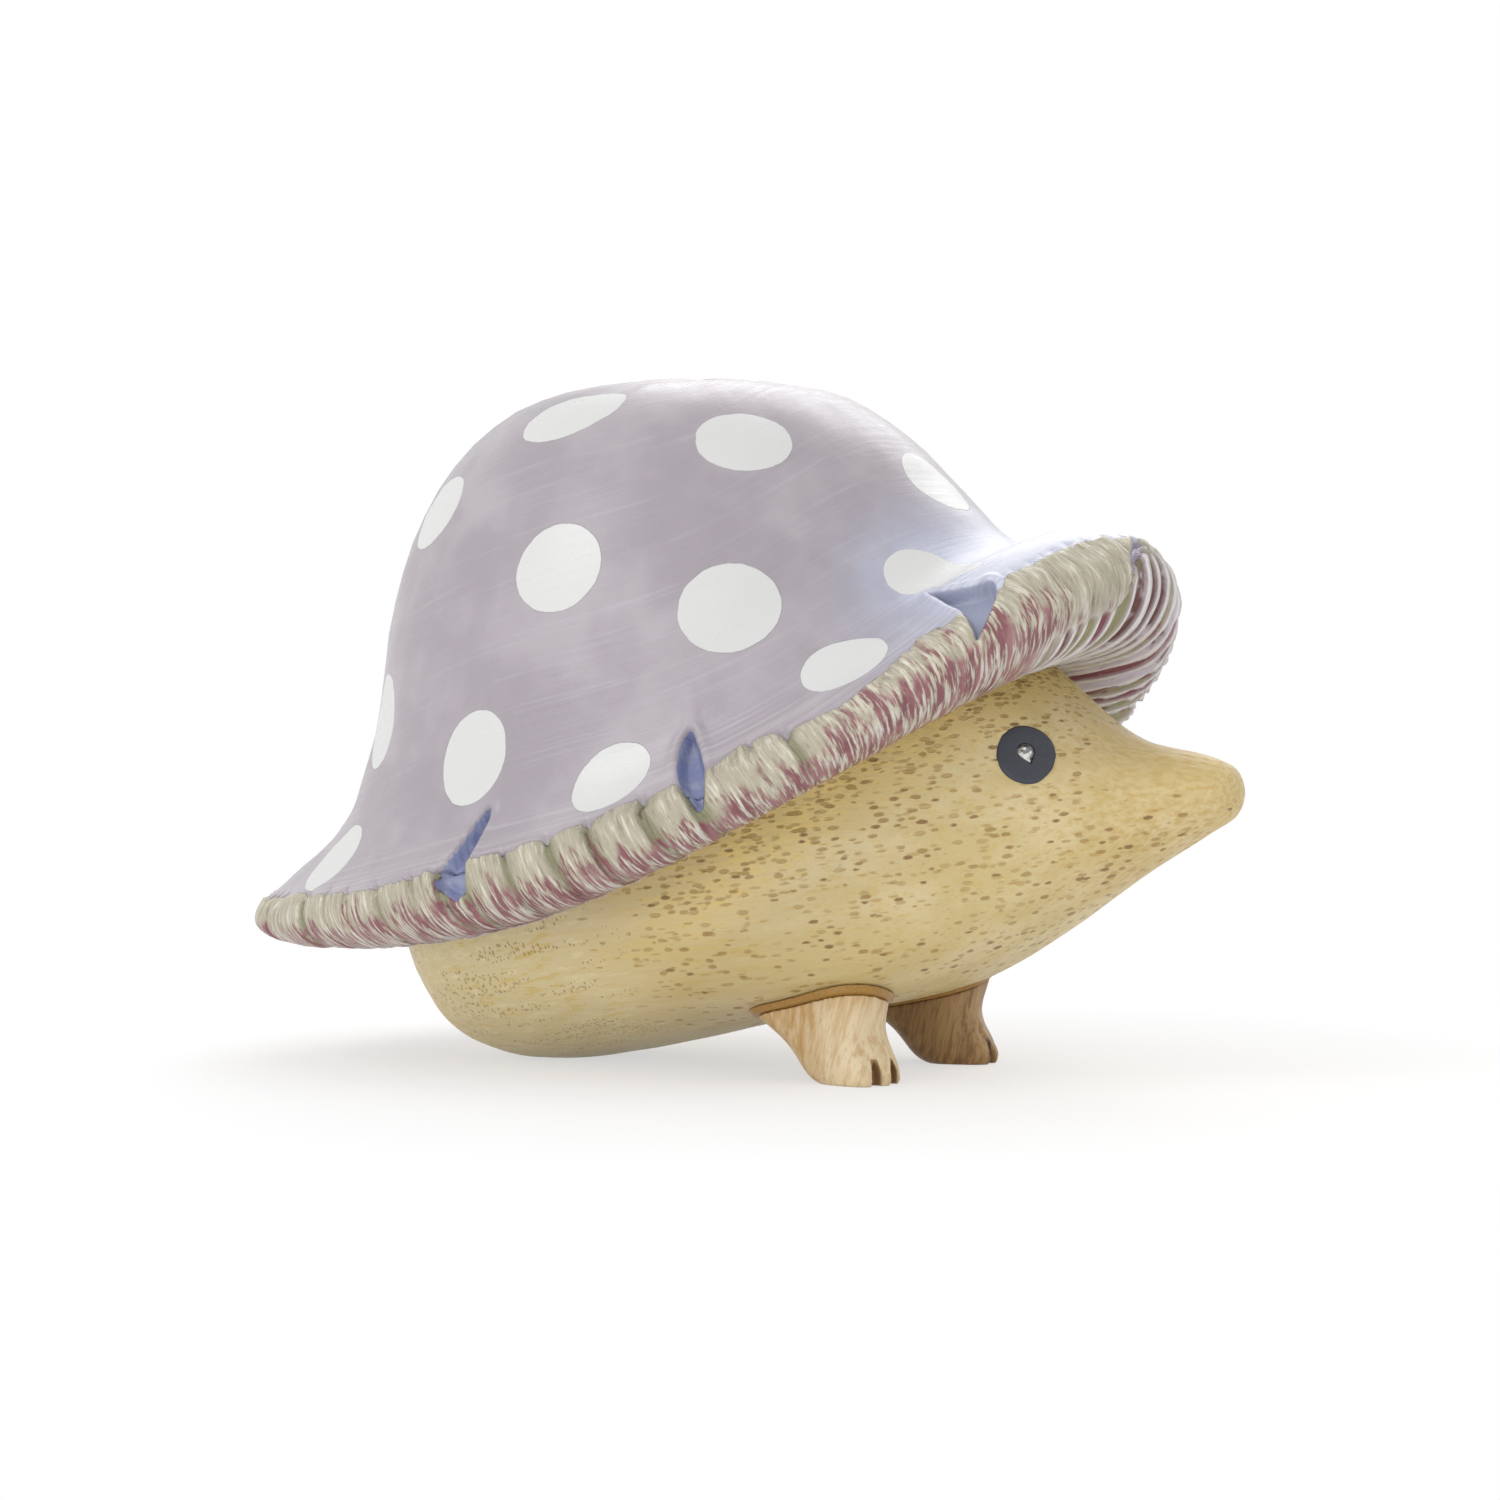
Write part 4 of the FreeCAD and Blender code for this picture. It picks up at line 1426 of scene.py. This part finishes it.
    def build(self) -> bpy.types.Object:
        """Models the cap.

        Returns:
            The finished mesh with its fields.
        """
        points, fold_rows, below = self.base_grid()
        turn = np.broadcast_to((self.columns() + 0.5) % 1.0 - 0.5, below.shape)
        fold = np.broadcast_to(fold_rows[:, None], below.shape)
        reach = np.hypot(points[..., 0] - self.axis_x, points[..., 1])
        places, rises = np.array(self.rim_rise).T
        under = below + np.interp(turn, places, rises, period=1.0)
        fin_top = 0.07 + 0.33 * smoothstep(-0.004, -0.022, turn)
        fins = smoothstep(0.120, 0.095, turn) * smoothstep(-0.064, -0.036, turn)
        gills = 0.58 + 0.20 * self.ragged(turn)
        fins = fins * smoothstep(fin_top, fin_top + 0.12, fold)
        front = np.maximum(fins, smoothstep(gills, gills + 0.16, fold))
        normal = Workshop.normals(points)
        normal[0] = (0.0, 0.0, 1.0)
        pleat = self.pleats(turn, fold, under, front)
        cut_sink, inside, pale = self.split_field(turn, below, reach)
        spot, dot = self.spot_field(points)
        beside = pleat["sink"] + np.minimum(cut_sink, 0.0)
        sink = np.where(inside > 0.0, np.maximum(pleat["sink"], cut_sink), beside)
        offset = self.relief(turn, below, under) * smoothstep(0.5, -0.2, inside) - sink
        shaped = points + normal * offset[..., None]
        shaped[0] = shaped[0].mean(axis=0)

        centre = np.array([self.axis_x, 0.0, self.closing_height])
        closing = [shaped[-1] + (centre - shaped[-1]) * share
                   for share in np.linspace(0.0, 1.0, self.closing_rings + 1)[1:]]
        angle = TAU * pleat["start"]
        crowded = smoothstep(-0.060, -0.040, turn) * smoothstep(0.0, -0.004, turn)
        fields = {
            "band": under + 0.5 * (pleat["height"] - 0.6) * (1.0 - front) * bell(under, 2.5),
            "spot": spot, "split": inside, "pale": pale, "pleat": pleat["height"], "tint": pleat["tint"],
            "fold": fold, "front": front,
            "stain": 0.15 * self.ragged(turn) - 0.34 * crowded,
            # Blue paint by the front saddle; its middle also carries a painted highlight.
            "blue": smoothstep(0.115, 0.05, np.abs(turn + 0.01)) * smoothstep(-36.0, -18.0, below),
            # Where painted sheen streaks lie: the lower flare, just above the band.
            "flare_sheen": smoothstep(-9.0, -3.5, under) * smoothstep(0.1, -1.0, under),
            "flow": np.stack([np.cos(angle) * 10.0, np.sin(angle) * 10.0, below], axis=-1), "dot": dot,
        }
        fields = {name: np.concatenate([values, np.repeat(values[-1:], self.closing_rings, axis=0)])
                  for name, values in fields.items()}
        return Workshop.moulded("mushroom_cap", np.concatenate([shaped, closing]), fields)


# The carved body and what is let into it

@dataclass
class CarvedBody:
    """The body, with its snout."""

    rear_x: float = -53.0
    length: float = 134.5
    half_width: float = 40.0
    back_height: float = 81.0
    poles: int = 12
    segments: int = 320
    rings: int = 280
    skin_gap: float = 0.08
    eye_seat_depth: float = 1.9
    eye_seat_radii: tuple[float, float] = (4.3, 3.5)
    uneven_waves: tuple[Waver, ...] = (Waver(21, 18, 16, 0.22), Waver(22, 90, 20, 0.07))
    stations: tuple[tuple[float, ...], ...] = (
        (0.0, 0.0, 0.345, 0.345, 1.0),
        (0.0, 0.38, 0.50, 0.19, 1.0),
        (0.033, 0.76, 0.74, 0.012, 0.95),
        (0.15, 0.93, 0.92, -0.018, 0.85),
        (0.323, 0.97, 0.988, 0.045, 0.75),
        (0.494, 0.89, 1.0, 0.118, 0.55),
        (0.643, 0.76, 0.926, 0.152, 0.45),
        (0.755, 0.60, 0.786, 0.245, 0.70),
        (0.844, 0.40, 0.653, 0.34, 0.95),
        (0.911, 0.263, 0.617, 0.41, 1.0),
        (0.97, 0.175, 0.606, 0.472, 1.0),
        (0.998, 0.113, 0.584, 0.491, 1.0),
        (1.0, 0.0, 0.538, 0.538, 1.0),
    )

    def form(self) -> SplineForm:
        """The body's skin, from rear to nose.

        Returns:
            The form, with a ring of poles for each station.
        """
        gain = SplineForm.gain(self.poles)
        angle = TAU * np.arange(self.poles) / self.poles
        net = []
        for place, width, top, bottom, roundness in self.stations:
            across, rise = np.cos(angle), np.sin(angle)
            low = rise < -TINY
            across = np.where(low, np.sign(across) * np.abs(across) ** roundness, across)
            rise = np.where(low, -np.abs(rise) ** roundness, rise)
            middle = self.back_height * (top + bottom) / 2.0
            half = gain * self.back_height * (top - bottom) / 2.0
            x = np.full_like(angle, self.rear_x + self.length * place)
            net.append(np.stack([x, gain * self.half_width * width * across, middle + half * rise], -1))
        return SplineForm(np.array(net))

    def eye_seats(self, points: np.ndarray) -> np.ndarray:
        """How far the skin is sunk under each inlaid eye, so that the gem's seat stays open.

        Args:
            points: Places on the skin.

        Returns:
            Depths in millimetres.
        """
        sunk = np.zeros(points.shape[:2])
        for side in SIDES:
            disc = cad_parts[f"{side}_eye"]
            centre = sum((disc.matrix_world @ vertex.co for vertex in disc.data.vertices), Vector())
            centre = np.array(centre / len(disc.data.vertices)) / MM
            away = np.linalg.norm(points - centre, axis=-1)
            sunk = np.maximum(sunk, self.eye_seat_depth * smoothstep(*self.eye_seat_radii, away))
        return sunk

    def fields(self, turn: np.ndarray, along: np.ndarray, high: np.ndarray) -> dict[str, np.ndarray]:
        """What the wood's finish reads.

        Args:
            turn: Places round.
            along: Places from the rear to the nose, from 0 to 1.
            high: Heights as shares of the back's height.

        Returns:
            How densely the dashes stand on the chest, crown and flanks; where the rear's tick marks and its
            painted light are;
            where warm bounce light is painted under the cap's brim; and where the snout is.
        """
        patchy = 0.5 + Waver(23, 9, 10, 0.5)(turn, along)
        bald = smoothstep(0.80, 0.90, along) * smoothstep(0.47, 0.56, high)
        # Line under which the cap's brim shades the body; below it the crown field paints warm bounce light.
        brim = 0.33 + 1.32 * (along - 0.40)
        crown = smoothstep(0.30, 0.55, along) * smoothstep(0.87, 0.78, along)
        low_head = smoothstep(0.55, 0.70, along) * smoothstep(0.62, 0.46, high)
        chest = smoothstep(0.36, 0.52, along + 0.10 * high) * (0.56 + 0.28 * patchy + 0.26 * low_head)
        return {
            "chest": chest * (1.0 - bald) - 0.05 * bald,
            # Crown zone under the brim: painted bounce light, and where the small dashes stand.
            "crown": crown * smoothstep(brim - 0.22, brim - 0.04, high),
            # Rear zone: tick marks, and painted light that lifts the rear out of the cap's shade.
            "rear_ticks_and_light": smoothstep(0.44, 0.30, along) * (0.6 + 0.4 * patchy),
            "flank": smoothstep(0.25, 0.45, along) * (1.0 - 0.9 * bald),
            "snout": smoothstep(0.76, 0.94, along),
        }

    def build(self) -> bpy.types.Object:
        """Models the body.

        Returns:
            The finished mesh with its fields.
        """
        form = self.form()
        turns = np.arange(self.segments) / self.segments
        points = form.grid(turns, form.even_shares(self.rings + 1)[::-1])
        points[0] = points[0].mean(axis=0)
        points[-1] = points[-1].mean(axis=0)
        turn = np.broadcast_to(turns, points.shape[:2])
        along = (points[..., 0] - self.rear_x) / self.length
        uneven = sum(wave(turn, along) for wave in self.uneven_waves)
        uneven *= smoothstep(0.0, 0.03, along) * smoothstep(1.0, 0.97, along)
        offset = uneven - self.skin_gap - self.eye_seats(points)
        shaped = points + Workshop.normals(points) * offset[..., None]
        shaped[..., 2] = np.maximum(shaped[..., 2], 0.0)
        high = points[..., 2] / self.back_height
        return Workshop.moulded("carved_body", shaped, self.fields(turn, along, high))


@dataclass
class Foot:
    """A carved foot with its glue line."""

    side: str
    x: float = 27.0
    half_track: float = 18.0
    splay: float = 12.0
    notch_places: tuple[float, float] = (1.78, -1.98)
    notch_arch: float = 0.62
    voxel: float = 0.26
    glue_voxel: float = 0.16
    rounds: int = 3
    glue_rounds: int = 2

    def build(self) -> bpy.types.Object:
        """Models the foot from the frame's solid, with its edges eased and its toe notches arched.

        Returns:
            The finished mesh with its fields.
        """
        piece = Workshop.copy_of_node(f"{self.side}_foot", f"{self.side}_carved_foot")
        self.ease(piece, self.voxel, self.rounds)
        x, y, z = (Workshop.points(piece) / MM).T
        sign = -1.0 if self.side == "right" else 1.0
        cos, sin = math.cos(math.radians(self.splay)), math.sin(math.radians(self.splay))
        dx, dy = x - self.x, (y - sign * self.half_track) * sign
        toe, out = dx * cos + dy * sin, dy * cos - dx * sin
        notch, drawn = np.zeros(len(x)), np.zeros(len(x))
        for middle in self.notch_places:
            away = out - middle
            inner = smoothstep(1.6, 1.0, np.abs(away)) * smoothstep(4.4, 3.6, z)
            notch = np.maximum(notch, inner * smoothstep(3.6, 4.2, toe) * smoothstep(6.4, 5.2, toe))
            near = smoothstep(2.2, 1.3, np.abs(away)) * smoothstep(3.2, 4.2, toe) * smoothstep(7.0, 5.0, z)
            drawn -= away * self.notch_arch * near * smoothstep(1.2, 4.2, z)
        Workshop.set_points(piece, np.stack([x - drawn * sin, y + drawn * cos * sign, z], axis=-1))
        Workshop.set_field(piece, "notch", notch)
        # Where the foot turns darker: towards the top, under the belly, and at the heel.
        Workshop.set_field(piece, "top_heel_darkening", np.maximum(smoothstep(9.5, 14.0, z), smoothstep(-0.5, -3.5, toe)))
        Workshop.shade_smooth(piece)
        return piece

    def build_glue(self) -> bpy.types.Object:
        """Models the glue line between the foot and the belly.

        Returns:
            The finished mesh.
        """
        piece = Workshop.copy_of_node(f"{self.side}_foot_glue", f"{self.side}_glue_line")
        self.ease(piece, self.glue_voxel, self.glue_rounds)
        Workshop.shade_smooth(piece)
        return piece

    @staticmethod
    def ease(piece: bpy.types.Object, voxel: float, rounds: int) -> None:
        """Rounds all edges a little.

        Args:
            piece: The piece to ease.
            voxel: Size of the new faces in millimetres.
            rounds: Rounds of smoothing.
        """
        remesh = piece.modifiers.new("even_faces", "REMESH")
        remesh.mode = "VOXEL"
        remesh.voxel_size = voxel * MM
        smooth = piece.modifiers.new("eased_edges", "SMOOTH")
        smooth.factor = 0.5
        smooth.iterations = rounds
        Workshop.apply_all(piece)


@dataclass
class Eye:
    """An inlaid eye: a flat black disc with a seat for its gem."""

    side: str
    bevel: float = 0.10
    bevel_segments: int = 3
    bevel_degrees: float = 32.0
    smooth_degrees: float = 30.0

    def build(self) -> bpy.types.Object:
        """Models the disc from the frame's solid, with its sharp edges eased.

        Returns:
            The finished mesh.
        """
        piece = Workshop.copy_of_node(f"{self.side}_eye", f"{self.side}_eye_disc")
        bevel = piece.modifiers.new("eased_edges", "BEVEL")
        bevel.width = self.bevel * MM
        bevel.segments = self.bevel_segments
        bevel.limit_method = "ANGLE"
        bevel.angle_limit = math.radians(self.bevel_degrees)
        Workshop.apply_all(piece)
        Workshop.activate(piece)
        bpy.ops.object.shade_smooth_by_angle(angle=math.radians(self.smooth_degrees))
        return piece


# Studio

@dataclass(frozen=True)
class Lamp:
    """A soft square lamp: its name, its place and side in metres, and its power in watts."""

    name: str
    place: Triple
    side: float
    power: float


@dataclass
class Studio:
    """Camera, lamps, floor and backdrop."""

    lens: float = 100.0
    sensor: float = 36.0
    azimuth: float = 28.0
    elevation: float = 1.5
    distance: float = 0.648
    target: Triple = (0.0, 0.0, 0.0489)
    lamps: tuple[Lamp, ...] = (
        Lamp("key_lamp", (-0.45, -1.05, 1.05), 0.7, 4.6),
        Lamp("low_lamp", (-0.05, -1.15, 0.08), 0.5, 2.5),
        Lamp("back_lamp", (-0.25, 1.05, 0.9), 0.9, 5.0),
    )
    sky_light: float = 0.88
    white: Colour = (1.0, 1.0, 1.0)
    paper: Colour = (0.95, 0.95, 0.95)
    floor_radius: float = 4.0
    floor_fade: tuple[float, float] = (0.06, 0.20)
    least_glow: float = 0.58

    def set_camera(self) -> None:
        """Sets the camera at the photograph's viewing angle."""
        a, e = math.radians(self.azimuth), math.radians(self.elevation)
        back = Vector((math.sin(a) * math.cos(e), -math.cos(a) * math.cos(e), math.sin(e)))
        bpy.ops.object.camera_add(location=Vector(self.target) + back * self.distance,
                                  rotation=(math.pi / 2 - e, 0.0, a))
        camera = bpy.context.object
        camera.name = "camera"
        camera.data.lens = self.lens
        camera.data.sensor_width = self.sensor
        camera.data.clip_start = 0.01
        bpy.context.scene.camera = camera

    def hang_lamps(self) -> None:
        """Hangs the lamps so that they face the figurine."""
        for lamp in self.lamps:
            aim = Vector(self.target) - Vector(lamp.place)
            bpy.ops.object.light_add(type="AREA", location=lamp.place,
                                     rotation=aim.to_track_quat("-Z", "Y").to_euler())
            light = bpy.context.object
            light.name = lamp.name
            light.data.size = lamp.side
            light.data.energy = lamp.power

    def light_world(self) -> None:
        """Lights the scene softly from all round, with a white backdrop."""
        world = bpy.data.worlds.new("soft_sky")
        bpy.context.scene.world = world
        world.use_nodes = True
        world.node_tree.nodes.clear()
        g = Graph(world.node_tree)
        sky = g.node("ShaderNodeBackground")
        g.feed(sky.inputs["Color"], self.white)
        g.feed(sky.inputs["Strength"], g.remap(g.seen(), 0.0, 1.0, self.sky_light, 1.0))
        g.feed(g.node("ShaderNodeOutputWorld").inputs["Surface"], sky.outputs[0])

    def lay_floor(self) -> None:
        """Lays a pale floor that turns into the white backdrop further out."""
        Workshop.clear_selection()
        bpy.ops.mesh.primitive_circle_add(vertices=96, radius=self.floor_radius, fill_type="NGON")
        floor = bpy.context.object
        floor.name = "floor"
        g = Graph.new("floor_paper")
        away = g.length(g.node("ShaderNodeTexCoord").outputs["Object"])
        far = g.math("MAXIMUM", g.step(away, *self.floor_fade), self.least_glow)
        paper, glow, mix = (g.node(kind) for kind in ("ShaderNodeBsdfDiffuse", "ShaderNodeEmission",
                                                      "ShaderNodeMixShader"))
        g.feed(paper.inputs["Color"], self.paper)
        g.feed(glow.inputs["Color"], self.white)
        for socket, value in zip(mix.inputs, (g.times(far, g.seen()), paper.outputs[0], glow.outputs[0])):
            g.feed(socket, value)
        g.feed(g.node("ShaderNodeOutputMaterial").inputs["Surface"], mix.outputs[0])
        Workshop.dress(floor.data, g.material)

    def build(self) -> None:
        """Sets up the whole studio."""
        self.set_camera()
        self.hang_lamps()
        self.light_world()
        self.lay_floor()
        bpy.context.scene.view_settings.view_transform = "Standard"


def main() -> None:
    """Builds and dresses every piece, then the studio."""
    logging.basicConfig(level=logging.INFO, format="%(name)s %(message)s")
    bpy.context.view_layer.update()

    Workshop.finish(MushroomCap().build(), CapPaint().material(), "cap_paint", "cap")
    Workshop.finish(CarvedBody().build(), CarvedWood().material(), "carved_wood", "body")

    foot_woods = {
        "right": FootWood(),
        # The left foot's darker colours are partly its own wood and partly painted shade, as it stands on the
        # shaded side.
        "left": FootWood("left_foot_wood_with_shade", base=srgb(178, 144, 96), dark=srgb(138, 102, 62),
                         vein=srgb(106, 76, 46), notch=srgb(96, 72, 52), top_heel_darkening=srgb(120, 88, 50)),
    }
    glue = PlainFinish("amber_glue", srgb(158, 118, 52), 0.35, 0.12).material()
    black = PlainFinish("eye_black", srgb(56, 59, 68), 0.5).material()
    gem = GemFinish().material()
    dowel = PlainFinish("dowel_wood", srgb(212, 188, 150), 0.6).material()
    pad = PlainFinish("adhesive", srgb(220, 208, 180), 0.7).material()
    for side in SIDES:
        foot = Foot(side)
        Workshop.finish(foot.build(), foot_woods[side].material(), "foot_wood", f"{side}_foot")
        Workshop.finish(foot.build_glue(), glue, "amber_glue", f"{side}_foot_glue")
        Workshop.finish(Eye(side).build(), black, "eye_black", f"{side}_eye")
        Workshop.dress_node(f"{side}_eye_gem", gem)
        Workshop.dress_node(f"{side}_foot_dowel", dowel)
    Workshop.dress_node("cap_adhesive", pad)

    Studio().build()


if __name__ == "__main__":
    main()
